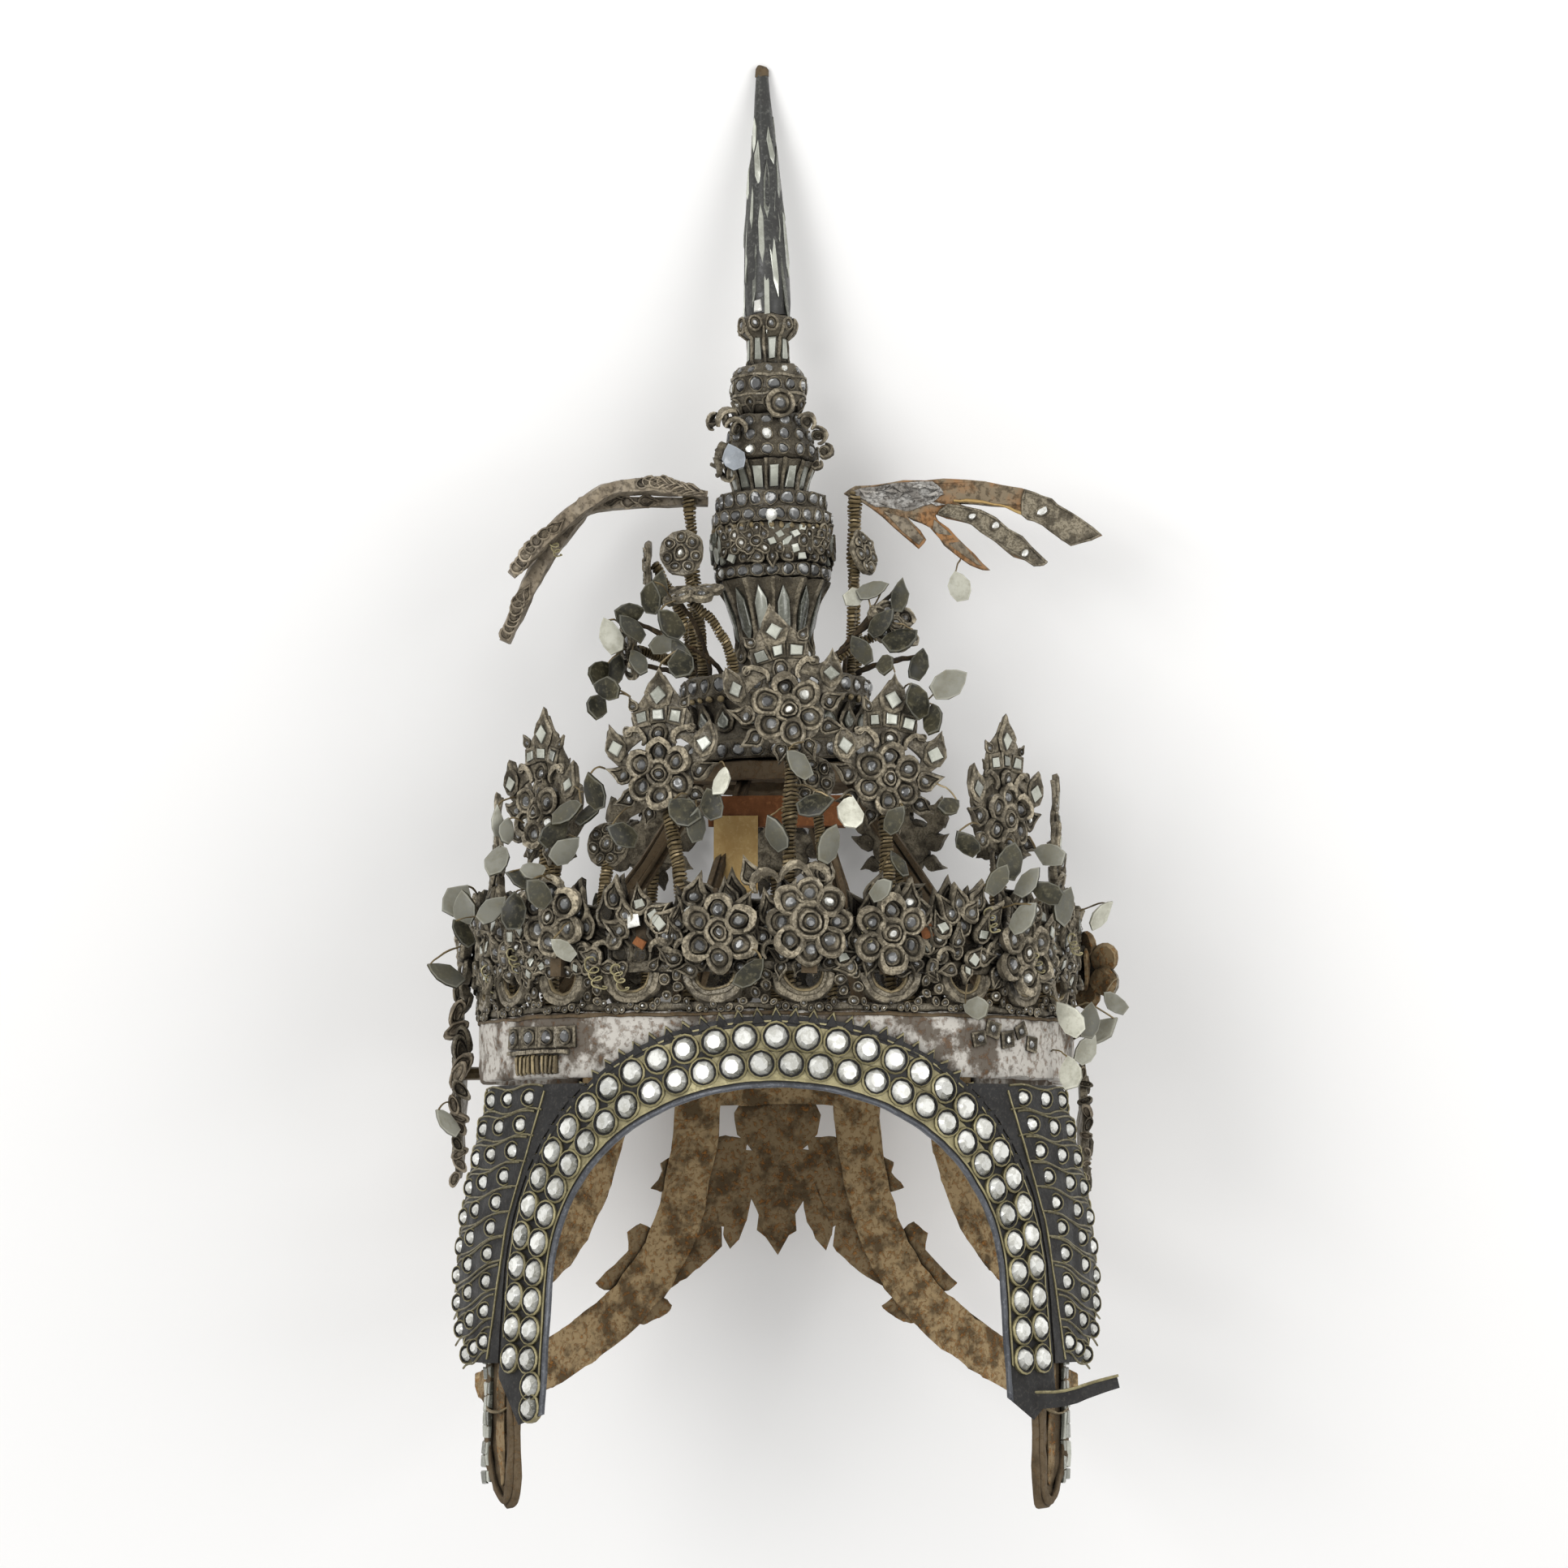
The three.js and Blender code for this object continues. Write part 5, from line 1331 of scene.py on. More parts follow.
def around(count, radius, z):
    """Spots in a ring in a face frame, each with its y axis outward."""
    spots = []
    for angle in 90 + np.arange(count) * 360 / count:
        a = math.radians(angle)
        spots.append(flat(radius * math.cos(a), radius * math.sin(a), z, angle - 90))
    return spots


def flower(kit, place, petals, radius, finish=None):
    """A flower in its face frame, back at z 0: cupped petals that overlap round a boss."""
    size = radius * (0.37 if petals > 6 else 0.4)
    for count, spot in enumerate(around(petals, radius - size * 0.94, 1.2)):
        tilt = turn(shade(-18, 6), "X") @ turn(shade(-14, 14), "Y")
        spot = place @ spot @ shift(0, 0, 0.8 * (count % 2)) @ tilt
        kit.boss(spot, size * shade(0.94, 1.06), PETAL_BRIGHT, PETAL, shade(0.4, 0.72), finish)
        if rng.random() < 0.4:
            kit.put(CRESCENT, LACQUER, spot @ flat(0, 0, 0.3 * size), size * 0.86, shade(0.55, 0.8))
    middle = radius * (0.48 if petals > 6 else 0.42)
    kit.put(PETAL, LACQUER, place @ shift(0, 0, 2.2), (middle, middle, middle * 0.8), 0.6)
    kit.put(BOSS, LACQUER, place @ shift(0, 0, 2.7), middle * 0.6, 0.5)
    kit.stone(place @ shift(0, 0, 2.9), middle * 0.3, 0.6)


for index, (bearing, z, petals, radius) in enumerate(FLOWERS):
    name = f"crest_flower_{index + 1}"
    piece, kit = Piece(name + "_petals"), Kit()
    seat = FLOWER_SEAT["front" if abs(bearing) < FLOWER_SEAT["back_from"] else "back"]
    place = facing(bearing, seat, z)
    hanging = index == TURNED_FLOWER
    flower(kit, place @ turn(TURNED_BY if hanging else 0, "Y"), petals, radius, RUST if hanging else None)
    disc = turned([(radius * part, height) for part, height in FLOWER_DISC], 24)
    piece.add(disc, RUST if hanging else LACQUER, place)
    tab_size = (TAB["width"], TAB["depth"], z - TAB["foot"] - TAB["gap"])
    piece.add(box(tab_size, (0, TAB["y"], (z + TAB["foot"]) / 2)), OLD_WOOD, turn(bearing, "Z"))
    piece.add_all(kit.shapes()).finish("aged_gilt", name)
print("flowers:", len(FLOWERS))

# %% [markdown]
# Palmettes, rosettes and wings stand on coil springs and shiver when the dancer moves. A helix could be a
# formula, but these springs are bent, so a second node tree winds a wire round any path: it moves the
# points of a fine curve out along the turning normal. A wooden core runs up the middle.

# %% Springs
WIRE_SIDES, POINTS_PER_TURN, CORE_SIDES = 5, 9, 6
SEATS = dict(tower=(26.5, 132.3), ledge=(84.6, 20.4), palmette=(87.6, 20.4))  # radius, height


def make_coil_tree():
    inputs = [("Path", "Geometry"), ("Turns", "Float"), ("Coil Radius", "Float"), ("Wire Radius", "Float"),
              ("Points", "Int"), ("Material", "Material")]
    tree, given = new_tree("coil_round_path", inputs)

    def maths(kind, *values):
        return add_node(tree, "ShaderNodeMath", dict(enumerate(values)), operation=kind).outputs[0]

    def vectors(kind, a, b):
        values = {0: a, "Scale" if kind == "SCALE" else 1: b}
        return add_node(tree, "ShaderNodeVectorMath", values, operation=kind).outputs[0]

    fine = add_node(tree, "GeometryNodeResampleCurve", {"Curve": given["Path"], "Count": given["Points"]})
    along = tree.nodes.new("GeometryNodeSplineParameter").outputs["Factor"]
    tangent = tree.nodes.new("GeometryNodeInputTangent").outputs[0]
    normal = tree.nodes.new("GeometryNodeInputNormal").outputs[0]
    angle = maths("MULTIPLY", maths("MULTIPLY", along, given["Turns"]), 2 * math.pi)
    across = vectors("CROSS_PRODUCT", tangent, normal)
    first = vectors("SCALE", normal, maths("COSINE", angle))
    outward = vectors("ADD", first, vectors("SCALE", across, maths("SINE", angle)))
    offset = vectors("SCALE", outward, given["Coil Radius"])
    wound = add_node(tree, "GeometryNodeSetPosition", {"Geometry": fine.outputs[0], "Offset": offset})
    circle_inputs = {"Resolution": WIRE_SIDES, "Radius": given["Wire Radius"]}
    section = add_node(tree, "GeometryNodeCurvePrimitiveCircle", circle_inputs).outputs[0]
    inputs = {"Curve": wound.outputs[0], "Profile Curve": section, "Fill Caps": True}
    return finished(tree, add_node(tree, "GeometryNodeCurveToMesh", inputs).outputs[0], given["Material"])


COIL_TREE = make_coil_tree()


def coil(path, radius, wire, pitch):
    """A spring wound round a path."""
    curve = bpy.data.curves.new("path", "CURVE")
    curve.dimensions = "3D"
    line = curve.splines.new("POLY")
    line.points.add(len(path) - 1)
    line.points.foreach_set("co", np.column_stack([path, np.ones(len(path))]).ravel())
    turns = np.linalg.norm(np.diff(path, axis=0), axis=1).sum() / pitch
    values = {"Turns": float(turns), "Coil Radius": float(radius - wire), "Wire Radius": float(wire)}
    return run_tree(COIL_TREE, curve, {**values, "Points": int(turns * POINTS_PER_TURN), "Material": WIRE})


def bezier(a, b, c, count=24):
    t = np.linspace(0, 1, count)[:, None]
    return (1 - t) ** 2 * np.array(a) + 2 * t * (1 - t) * np.array(b) + t * t * np.array(c)


def on_circle(radius, bearing, z):
    return Vector((radius * math.sin(math.radians(bearing)), -radius * math.cos(math.radians(bearing)), z))


def seat_on(stand, bearing):
    """Where the foot of a spring or stem stands."""
    radius, z = SEATS[stand]
    return on_circle(radius, bearing, z)


def spring_path(foot, top, bend_z=None):
    return bezier(foot, (foot[0], foot[1], (foot[2] + top[2]) / 2 if bend_z is None else bend_z), top)


def add_spring(piece, path, radius, wire, pitch, core):
    """A coil and the wooden core inside it."""
    piece.add(coil(path, radius, wire, pitch), WIRE)
    piece.add(swept(path, circle(core, CORE_SIDES)), OLD_WOOD)


print("nodes that wind a spring:", len(COIL_TREE.nodes))

# %% [markdown]
# A palmette is a pierced plate: a flower at the foot, a ring stone, three square mirrors, a leaf with a
# diamond at the top and a flame leaf on each side. The maker cut one pattern again and again, so one design
# is put down twelve times, each with its own turns, on a spring from the ledge.

# %% Palmettes
PALMETTES = (  # bearing, radius, z, roll, lean, twist, seat
    (2.5, 85, 114, -10, 0, 0, 0), (-25, 85, 94.5, -1.5, 0, 4, 7), (24, 85, 93, 4, 0, -4, 0),
    (-58.5, 88, 85, 4, 0, 8, 4), (55.5, 88, 82.5, 0, 0, -5, -4), (-86, 91, 62, -4, 0, 0, 0),
    (88, 91, 68, 0, 0, 0, 0), (-118, 86, 86, 3, 6, 0, 0), (118, 86, 86, -3, 6, 0, 0),
    (-149, 83, 84, 2, 14, 0, 0), (149, 83, 84, -2, 14, 0, 0), (180, 78, 82, 0, 18, 0, 0),
)
PALMETTE_HALF = np.array([(6, -10.5), (10.8, -5), (11.2, 1.5), (15, 3), (19.6, 8), (18.2, 17.5), (13.5, 12.6),
                          (9.2, 15), (9.8, 20), (5.2, 26)])
PALMETTE_HOLE = np.array([(4.6, 7), (10.6, 5.4), (11.2, 8), (4.8, 11.8)])
PALMETTE_OUTLINE = np.vstack([[(0, -12)], PALMETTE_HALF, [(0, 34)], (PALMETTE_HALF * FLIP)[::-1]])
PALMETTE_BACK = cut_plate(PALMETTE_OUTLINE * 0.98, 1.4, [PALMETTE_HOLE, PALMETTE_HOLE * FLIP], 0.35, 1)
PALMETTE_MIRRORS = ((-5.7, 18.0, 10), (0, 18.8, 0), (5.7, 18.0, -10))  # x, y, angle
PALMETTE_SPROUTS = ((13.0, 0.5, -70, 3.4), (11.4, -7.0, -110, 3.0), (4.6, -12.0, -165, 2.6))
PALMETTE_SOCKET = Vector((0, 2.2, -7))


def palmette(kit, place):
    """The ornaments of one palmette in its face frame, its flower at the origin."""
    flower(kit, place @ shift(0, 0, -0.4), 6, 11.0)
    kit.boss(place @ flat(0, 12.8, 0.9), 3.3, 0.3)
    for x, y, angle in PALMETTE_MIRRORS:
        kit.put(FRAME, LACQUER, place @ flat(x, y, 0.7, angle), (2.8, 2.8, 2.4), shade(0.4, 0.6))
        kit.mirror(place @ flat(x, y, 1.2, angle), (1.6, 1.6, 1.4), 0.0, 0.85)
    kit.put(LEAF, LACQUER, place @ flat(0, 25.6, 0.7), (5.6, 5.4, 3.0), 0.52)
    kit.mirror(place @ flat(0, 25.0, 1.4, 45 + shade(-14, 14)), (1.9, 1.9, 1.8), 0.3, 0.9)
    for side in (-1, 1):
        leaf = place @ flat(side * 15.2, 9.4, 0.7, -side * 14)
        kit.put(LEAF, LACQUER, leaf, (4.6, 5.0, 3.2), shade(0.4, 0.7))
        kit.mirror(place @ flat(side * 15.2, 9.0, 1.3, 45 - side * 14), (1.8, 1.8, 1.6), 0.2, 0.8)
        kit.put(CRESCENT, LACQUER, place @ flat(side * 8.2, 11.6, 0.8, side * 28), (3.6, 2.8, 2.6), 0.55)
        kit.boss(place @ flat(side * 8.4, 22.2, 0.5, -side * 34), 1.7, 0.1, SPROUT)
        kit.boss(place @ flat(side * 10.6, 14.0, 0.9), 1.6, 0.2)
        for x, y, angle, size in PALMETTE_SPROUTS:
            kit.boss(place @ flat(side * x, y, -0.2, side * angle), size, 0.05, SPROUT, shade(0.3, 0.6))


for index, (bearing, radius, z, roll, lean, twist, seat) in enumerate(PALMETTES):
    name = f"palmette_{index + 1}"
    piece, kit = Piece(name + "_plate"), Kit()
    place = station(bearing, radius, z, lean, roll, twist)
    palmette(kit, place @ FACE)
    piece.add(PALMETTE_BACK, LACQUER, place @ FACE @ shift(0, 0, -1.0))
    path = spring_path(seat_on("palmette", bearing + seat), place @ PALMETTE_SOCKET)
    add_spring(piece, path, 2.4, 0.55, 1.3, 1.5)
    piece.add_all(kit.shapes()).finish("aged_gilt", name)
print("palmettes:", len(PALMETTES))

# %% [markdown]
# Rosettes are round bosses on thinner springs: a ring of ridged inlays round a stone, or a whole flower on
# three of them. Each is turned as the photo shows it, some seen from the edge. The tower leans a little, so
# what stands on it is built upright and then leaned with it.

# %% Rosettes
TOWER_SEAT, TOWER_LEAN = 104.0, 1.2
LEAN = shift(0, 0, TOWER_SEAT) @ turn(-TOWER_LEAN, "Y") @ shift(0, 0, -TOWER_SEAT)
ROSETTES = (  # middle, bearing, rise, seat bearing, on the tower
    ((-29, -24, 172), -20, 0, -62, True), ((-40, 2, 172), -90, 0, -100, True),
    ((29, -14, 172), 62, 10, 68, True), ((-26, -31, 156), -30, 72, -30, True),
    ((38, -22, 146), 35, 30, 42, True), ((-46, -6, 143), -75, -10, -124, True),
    ((11, -75, 93), 0, 0, 12, False), ((-53, -53, 74), -30, 10, -42, False),
)
FULL_ROSETTES = (3, 4, 5)
ROSETTE_DISC = [(3.0, 0.0), (7.2, 0.1), (7.7, 0.9), (7.3, 1.6), (6.6, 1.5), (3.0, 1.5), (2.2, 1.7)]
ROSETTE_SOCKET = Vector((0, 0.8, 0))

for index, (at, bearing, rise, seat, on_tower) in enumerate(ROSETTES):
    name = f"rosette_{index + 1}"
    piece, kit = Piece(name + "_boss"), Kit()
    place = Matrix.Translation(at) @ turn(bearing, "Z") @ turn(-rise, "X")
    piece.add(turned(ROSETTE_DISC, 28), LACQUER, place @ FACE)
    if index in FULL_ROSETTES:
        flower(kit, place @ FACE @ shift(0, 0, 0.4), 6, 9.4)
    else:
        for spot in around(7, 5.0, 1.7):
            kit.boss(place @ FACE @ spot, 2.1, 0.15)
        kit.boss(place @ FACE @ shift(0, 0, 2.0), 2.9, 0.3)
    foot = seat_on("tower" if on_tower else "ledge", seat)
    add_spring(piece, spring_path(foot, place @ ROSETTE_SOCKET), 1.9, 0.5, 1.15, 1.0)
    piece.add_all(kit.shapes())
    if on_tower:
        piece.moved(LEAN)
    piece.finish("aged_gilt", name)
print("rosettes:", len(ROSETTES))

# %% [markdown]
# The right wing is seen flat, four feathers in a fan. It is sawn from one board, and what time has left
# lies in layers: ashy gesso flaking at the root, bark on the short feathers, lacquer and inlays on the long
# ones. Each layer is a thin plate, because its broken edge can be seen.

# %% Right wing
WING_RIGHT = [
    (24, 193.5), (28, 195.6), (44, 197.2), (64, 197.7), (83, 194), (99, 185), (108.5, 178), (98.5, 174.8),
    (89, 182), (78, 188), (62, 189.6), (68.5, 187), (82.5, 177.5), (90, 169), (86.5, 168.4), (76.5, 174),
    (66, 182.4), (54, 186), (55, 184), (64, 175.5), (71.5, 167), (68, 167.8), (59, 173.4), (52, 181.5),
    (45, 185.5), (51, 178), (48.5, 175), (43, 179.4), (33, 189),
]
WING_SLEEVES = (  # lacquer left on the feathers
    [(83.6, 193.4), (92, 189.6), (99, 185), (108, 178.2), (98.5, 175), (89, 182), (82.6, 185.4)],
    [(58, 188.8), (68.5, 187), (82.5, 177.5), (90, 169), (86.5, 168.6), (76.5, 174.2), (66, 182.6),
     (55, 186.2)],
)
WING_ROOT = [
    (26.5, 193.4), (31, 195.2), (44, 196.6), (53, 197), (57, 193.5), (52, 189), (44.5, 187), (36, 189),
]
FLAKE_COLUMNS, FLAKE_ROWS = np.linspace(31, 54, 9), (189.6, 192.2, 194.6)
WING_STRIPS = (  # grey bark left on the two short feathers
    [(44.4, 185), (50, 178), (48.3, 176), (43.4, 180), (36.5, 187.2)],
    [(53.5, 184.6), (62.8, 175.8), (69.6, 168.4), (67.6, 169), (59.6, 174.2), (53.2, 181)],
)
WING_INLAYS = (  # x, height, size
    (88.9, 186.2, 1.7), (66.4, 185.2, 1.35), (73.2, 181.6, 1.35), (78.2, 177.4, 1.35), (83.4, 172.6, 1.35),
)
WING_EDGE = [(60, 190.4), (70, 189.8), (78, 187.8), (86, 183.8)]


def wing_spring(piece, seat, root):
    add_spring(piece, spring_path(seat_on("tower", seat), root, root[2] - 20), 2.3, 0.55, 1.3, 1.2)


def flake():
    """A splinter of gesso with its own length, width and tone."""
    long, wide = shade(1.6, 3.4), shade(0.5, 1.1)
    outline = [(-long, shade(-0.4, 0.4)), (0, -wide), (long, shade(-0.4, 0.4)), (0, wide)]
    return cut_plate(outline, 0.5, bevel=0.15).toned(shade(0.2, 1.0))


wing, kit = Piece("wing_right_feathers"), Kit()
upright = shift(0, -1.4, 0) @ FACE
wing.add(cut_plate(leafy(WING_RIGHT), 2.2, bevel=0.4), FEATHER, upright)
wing.add(cut_plate(leafy(WING_ROOT), 0.7, bevel=0.3), ASH, upright @ shift(0, 0, 2.0))
for x in FLAKE_COLUMNS:
    for z in FLAKE_ROWS:
        if z > 194.5 - 0.55 * (x - 24):
            piece = flake()
            wing.add(piece, ASH, upright @ flat(x + shade(-1, 1), z + shade(-1, 1), 2.5, shade(-30, 15)))
for strip in WING_STRIPS:
    wing.add(cut_plate(strip, 0.6, bevel=0.25).toned(0.32), DRIFTWOOD, upright @ shift(0, 0, 1.9))
for sleeve in WING_SLEEVES:
    wing.add(cut_plate(sleeve, 1.1, bevel=0.35), LACQUER, upright @ shift(0, 0, 1.8))
    wing.add(ridge(leafy(sleeve), 2.7, 0.5, closed=True), LACQUER, upright)
wing.add(ridge(spline(WING_EDGE, 14), 2.2, 0.5), PALE_WOOD, upright)
for x, z, size in WING_INLAYS:
    kit.put(COLLAR, LACQUER, upright @ flat(x, z, 2.9, 40), (size * 1.15, size * 0.85, size), 0.4)
    kit.put(BEAD, GLASS, upright @ flat(x, z, 2.7, 40), (size * 1.15, size * 0.85, size * 0.5), 0.7)
wing_spring(wing, 88, (28, -2.7, 193.5))
wing.add_all(kit.shapes()).moved(LEAN).finish("aged_gilt", "wing_right")
print("wing inlays:", len(WING_INLAYS))

# %% [markdown]
# The left wing is bent and seen on its edge, one feather behind the other. A flat board would look wrong,
# so each feather is a section swept along the line of its back, narrow at both ends, with worn leaf tips
# where the carving is left.

# %% Left wing
WING_LEFT = (  # front, depth, line of the feather's back
    (-12, 9, [(-22, 196), (-34, 198.8), (-47, 199.6), (-59, 196.2), (-76, 182.6), (-87, 171)]),
    (-4, 9, [(-22, 195), (-58, 195), (-66.3, 190), (-78, 174.5), (-84.9, 161.7), (-90, 150)]),
)
FEATHER_STEPS = 30
FEATHER_WIDTH = ((0, 0.25, 0.8, 1), (0.5, 1, 1, 0.6))  # part of the length, part of the width
CARVED_STEPS = (*range(3, 11), *range(22, 29))

wing, kit = Piece("wing_left_feathers"), Kit()
for front, depth, line in WING_LEFT:
    line = spline(line, FEATHER_STEPS)
    along = np.gradient(line, axis=0)
    along /= np.linalg.norm(along, axis=1)[:, None]
    ups = np.column_stack([along[:, 1], np.zeros(FEATHER_STEPS), -along[:, 0]])
    middle = np.full(FEATHER_STEPS, front + depth / 2)
    path = np.column_stack([line[:, 0] + 1.2, middle, line[:, 1] - 2.6])
    half, narrow = depth / 2, np.interp(np.linspace(0, 1, FEATHER_STEPS), *FEATHER_WIDTH)
    section = [(-half, -2.6), (0, -2.9), (half, -2.6), (half, 1.6), (0, 2.6), (-half, 1.6)]
    wing.add(swept(path, section, ups, taper=narrow), DRIFTWOOD)
    for i in CARVED_STEPS:
        side = math.degrees(math.atan2(along[i][1], along[i][0]))
        spot = Matrix.Translation(path[i] - (0, half * narrow[i], 0)) @ FACE @ turn(side + 90, "Z")
        kit.put(SPROUT, DRIFTWOOD, spot @ flat(shade(-0.8, 0.8), 0), (2.4, 2.6, 2.2), shade(0.2, 0.7))
wing_spring(wing, -78, (-27, -4, 194.5))
wing.add_all(kit.shapes()).moved(LEAN).finish("aged_gilt", "wing_left")
print("carved tips on each left feather:", len(CARVED_STEPS))

# %% [markdown]
# A frame of split wood carries the tower: rafters from the band's ledge to a ring, and two boards nailed
# across behind the crest. A rafter could be one bar, but a bundle of laths that wander a little looks
# split, because split wood follows its grain.

# %% Roof frame
ROOF = dict(rafters=8, foot_radius=81.0, foot_z=21.8, head_radius=25.5, head_z=100.0)
LATHS = ((-1.5, -0.9, 1.1), (0.9, 0.2, 1.3), (-0.3, 1.6, 0.9))  # across, lift, half width
LATH_STEPS = 9
LATH_SECTION = np.array([(-1, -1), (1, -0.9), (0.95, 1), (-0.9, 0.95)])
ROOF_RING = (
    (18, 97.3), (18.3, 97), (32.7, 97), (33, 97.3), (33, 102.7), (32.7, 103), (18.3, 103), (18, 102.7),
)
BOARDS = (((44, 6, 10), (0, -40, 86), WOOD), ((14, 5, 24), (-13, -42, 72), PALE_WOOD))  # size, middle, finish

roof = Piece("roof_rafters")
roof.add(turned(ROOF_RING, 48, closed=True), OLD_WOOD)
for i in range(ROOF["rafters"]):
    bearing = (i + 0.5) * 360 / ROOF["rafters"]
    foot = on_circle(ROOF["foot_radius"], bearing, ROOF["foot_z"])
    head = on_circle(ROOF["head_radius"], bearing, ROOF["head_z"])
    line = np.array([foot.lerp(head, t) for t in np.linspace(0, 1, LATH_STEPS)])
    ups = np.tile(np.array(on_circle(1, bearing, 0)), (LATH_STEPS, 1))
    for across, lift, half in LATHS:
        wander = np.array([shade(-0.25, 0.25) for _ in line])[:, None]
        section = half * LATH_SECTION + (across, lift)
        roof.add(swept(line + ups * wander, section, ups, tone=shade(0.2, 0.7)), OLD_WOOD)
for size, at, finish in BOARDS:
    roof.add(box(size, at), finish)
roof.finish("wood", "roof_frame", sharp=25)
print("rafters:", ROOF["rafters"], "of", len(LATHS), "laths")

# %% [markdown]
# The tower is turned and built up in tiers. Every tier is a turned core with rings of ornaments round it,
# so one function finishes them all and each step below only fills a kit. Flutes are a wave in the radius,
# and ribs are wires that follow the profile.

# %% How a tier is made
CORE_TONE = 0.2


def tower_piece(name, profile, kit, wave=None, sides=64, body=LACQUER, slot="aged_gilt", extras=()):
    piece = Piece(name + "_body").add(turned(profile, sides, wave).toned(CORE_TONE), body)
    piece.add_all([*kit.shapes(), *extras]).moved(LEAN).finish(slot, name)
    print(name, "has", sum(len(spots) for spots in kit.spots.values()), "ornaments")


def flutes(count, depth, low, high):
    return lambda angle, z: 1 + depth * np.clip((z - low) / (high - low), 0, 1) * math.cos(count * angle)


def ribs(count, profile, lift, radius, start=0.0):
    """Upright ribs that follow a profile."""
    made = []
    for i in range(count):
        bearing = start + 360 * i / count
        line = np.array([on_circle(r + lift, bearing, z) for r, z in profile])
        ups = np.tile(np.array(on_circle(1, bearing, 0)), (len(line), 1))
        made.append((swept(line, circle(radius, 6), ups), LACQUER))
    return made


def ring_of(count, radius, z, lean=0, start=0.0):
    """Spots round the crown's axis, facing outward."""
    return [facing(start + 360 * i / count, radius, z, lean) for i in range(count)]


print("bearings of a ring of 4:", [90 * i for i in range(4)], "first one to the front")

# %% [markdown]
# The base is a drum with two rows of stones and a belt of leaves between them; low tones and few bright
# stones keep it dark, as painted shade. On it stands the lotus cup, fluted like the flower, with a pane of
# mirror between each pair of ribs and a ring of sprouts at its foot.

# %% Tower base and lotus cup
BASE = [
    (33.4, 104), (34, 104.6), (34, 109.4), (33.2, 110), (29.5, 111), (28.2, 113), (27.2, 118),
    (27.2, 122), (28.4, 124), (30.6, 125.2), (31, 126), (31, 131.4), (30.5, 132), (21, 132), (20, 132.6),
]
BASE_STONES = ((107, 33.9, 34, 2.0), (128.8, 30.9, 30, 2.1))  # height, radius, stones, size
LOTUS = [(13, 132.9), (12.2, 137), (11.5, 142), (11.8, 147), (13, 153), (15.2, 159), (17.4, 163), (18, 164.5)]

kit = Kit()
# Painted shade: the collars, leaves and mirrors of the base get low tones, and its stones are seldom bright.
for z, radius, count, size in BASE_STONES:
    for spot in ring_of(count, radius, z):
        kit.put(COLLAR, LACQUER, spot, size, shade(0.15, 0.4))
        kit.stone(spot, size, 0.05)
for spot in ring_of(20, 28.4, 117.0, -3):
    kit.put(LEAF, LACQUER, spot, (4.4, 4.2, 3.2), shade(0.15, 0.4))
    kit.mirror(spot @ shift(0, 0, 0.8), (2.4, 2.2, 2.0), 0.0, 0.35, LEAF)
for spot in ring_of(40, 30.4, 124.4, -20):
    kit.put(BEAD, GILT, spot, 1.3, shade(0.3, 0.6))
tower_piece("tower_base", BASE, kit)

kit = Kit()
for spot in ring_of(12, 13.9, 153.5, -16, 15):
    kit.mirror(spot, (4.6, 9.0, 2.0), 0.0, 0.5, SLIVER)
for spot in ring_of(12, 12.4, 140, 3):
    kit.boss(spot, 2.9, 0.15, SPROUT)
tower_piece("lotus_cup", LOTUS, kit, flutes(12, 0.05, 138, 164), 96, extras=ribs(12, LOTUS[2:], 0.3, 0.9))

# %% [markdown]
# The lower bulb is a crust of leaves and chips of mirror with no order left in it, so chance picks what
# stands at each spot of five offset rings. Above it two rings of set stones close the bulb, with one
# large bright stone at the front.

# %% Lower bulb and stone rings
BULB = [
    (16.6, 164.8), (18.2, 165.2), (18.4, 169), (17.2, 170), (18.8, 171.6), (20, 174), (20.2, 177.5),
    (19.6, 180.5), (18.8, 182.6),
]
CRUST_RINGS = ((171.4, 19.0), (173.8, 19.8), (176.2, 20.1), (178.6, 19.9), (180.8, 19.2))  # height, radius
SPROUTS, BOSSES, SLIVERS = 0.4, 0.62, 0.85
STONE_RINGS = [(19.4, 182.9), (19.4, 187.6), (18.0, 188.2), (17.9, 193), (17.2, 193.4)]

kit = Kit()
for spot in ring_of(22, 18.3, 167.1):
    kit.setting(spot, 1.95, 0.15)
for row, (z, radius) in enumerate(CRUST_RINGS):
    for spot in ring_of(24, radius, z, 10 - 5 * row, 7.5 * row):
        kind = rng.random()
        if kind < BOSSES:
            template = SPROUT if kind < SPROUTS else BOSS
            kit.boss(spot @ turn(shade(0, 360), "Z"), shade(1.7, 2.6), 0.2, template)
        elif kind < SLIVERS:
            spot = spot @ turn(shade(-60, 60), "Z")
            kit.mirror(spot, (shade(1.6, 2.8), shade(2, 3.4), 1.6), 0.0, 0.6, SLIVER)
        else:
            kit.mirror(spot @ turn(shade(-40, 40), "Z"), (1.2, 1.2, 1.8), 0.5, 1.0)
for spot in ring_of(36, 19.2, 181.6):
    kit.put(BEAD, GILT, spot, 1.1, shade(0.3, 0.6))
tower_piece("lower_bulb", BULB, kit)

kit = Kit()
for z, radius, count, start in ((185.3, 19.3, 24, 7.5), (190.7, 17.9, 22, 0)):
    for spot in ring_of(count, radius, z, 0, start):
        kit.setting(spot, 1.95, 0.18)
kit.put(BRIGHT_GEM, GLASS, facing(0, 20.0, 184.6), 2.2, 0.95)
tower_piece("stone_rings", STONE_RINGS, kit)

# %% [markdown]
# The upper cup is lined with slips of mirror between ribs. The leaf tier above has three rows of stones,
# and the leaves that gave it its name curl out to both sides. They follow no rule, so a short table places
# them. A piece of grey mirror hangs at its left.

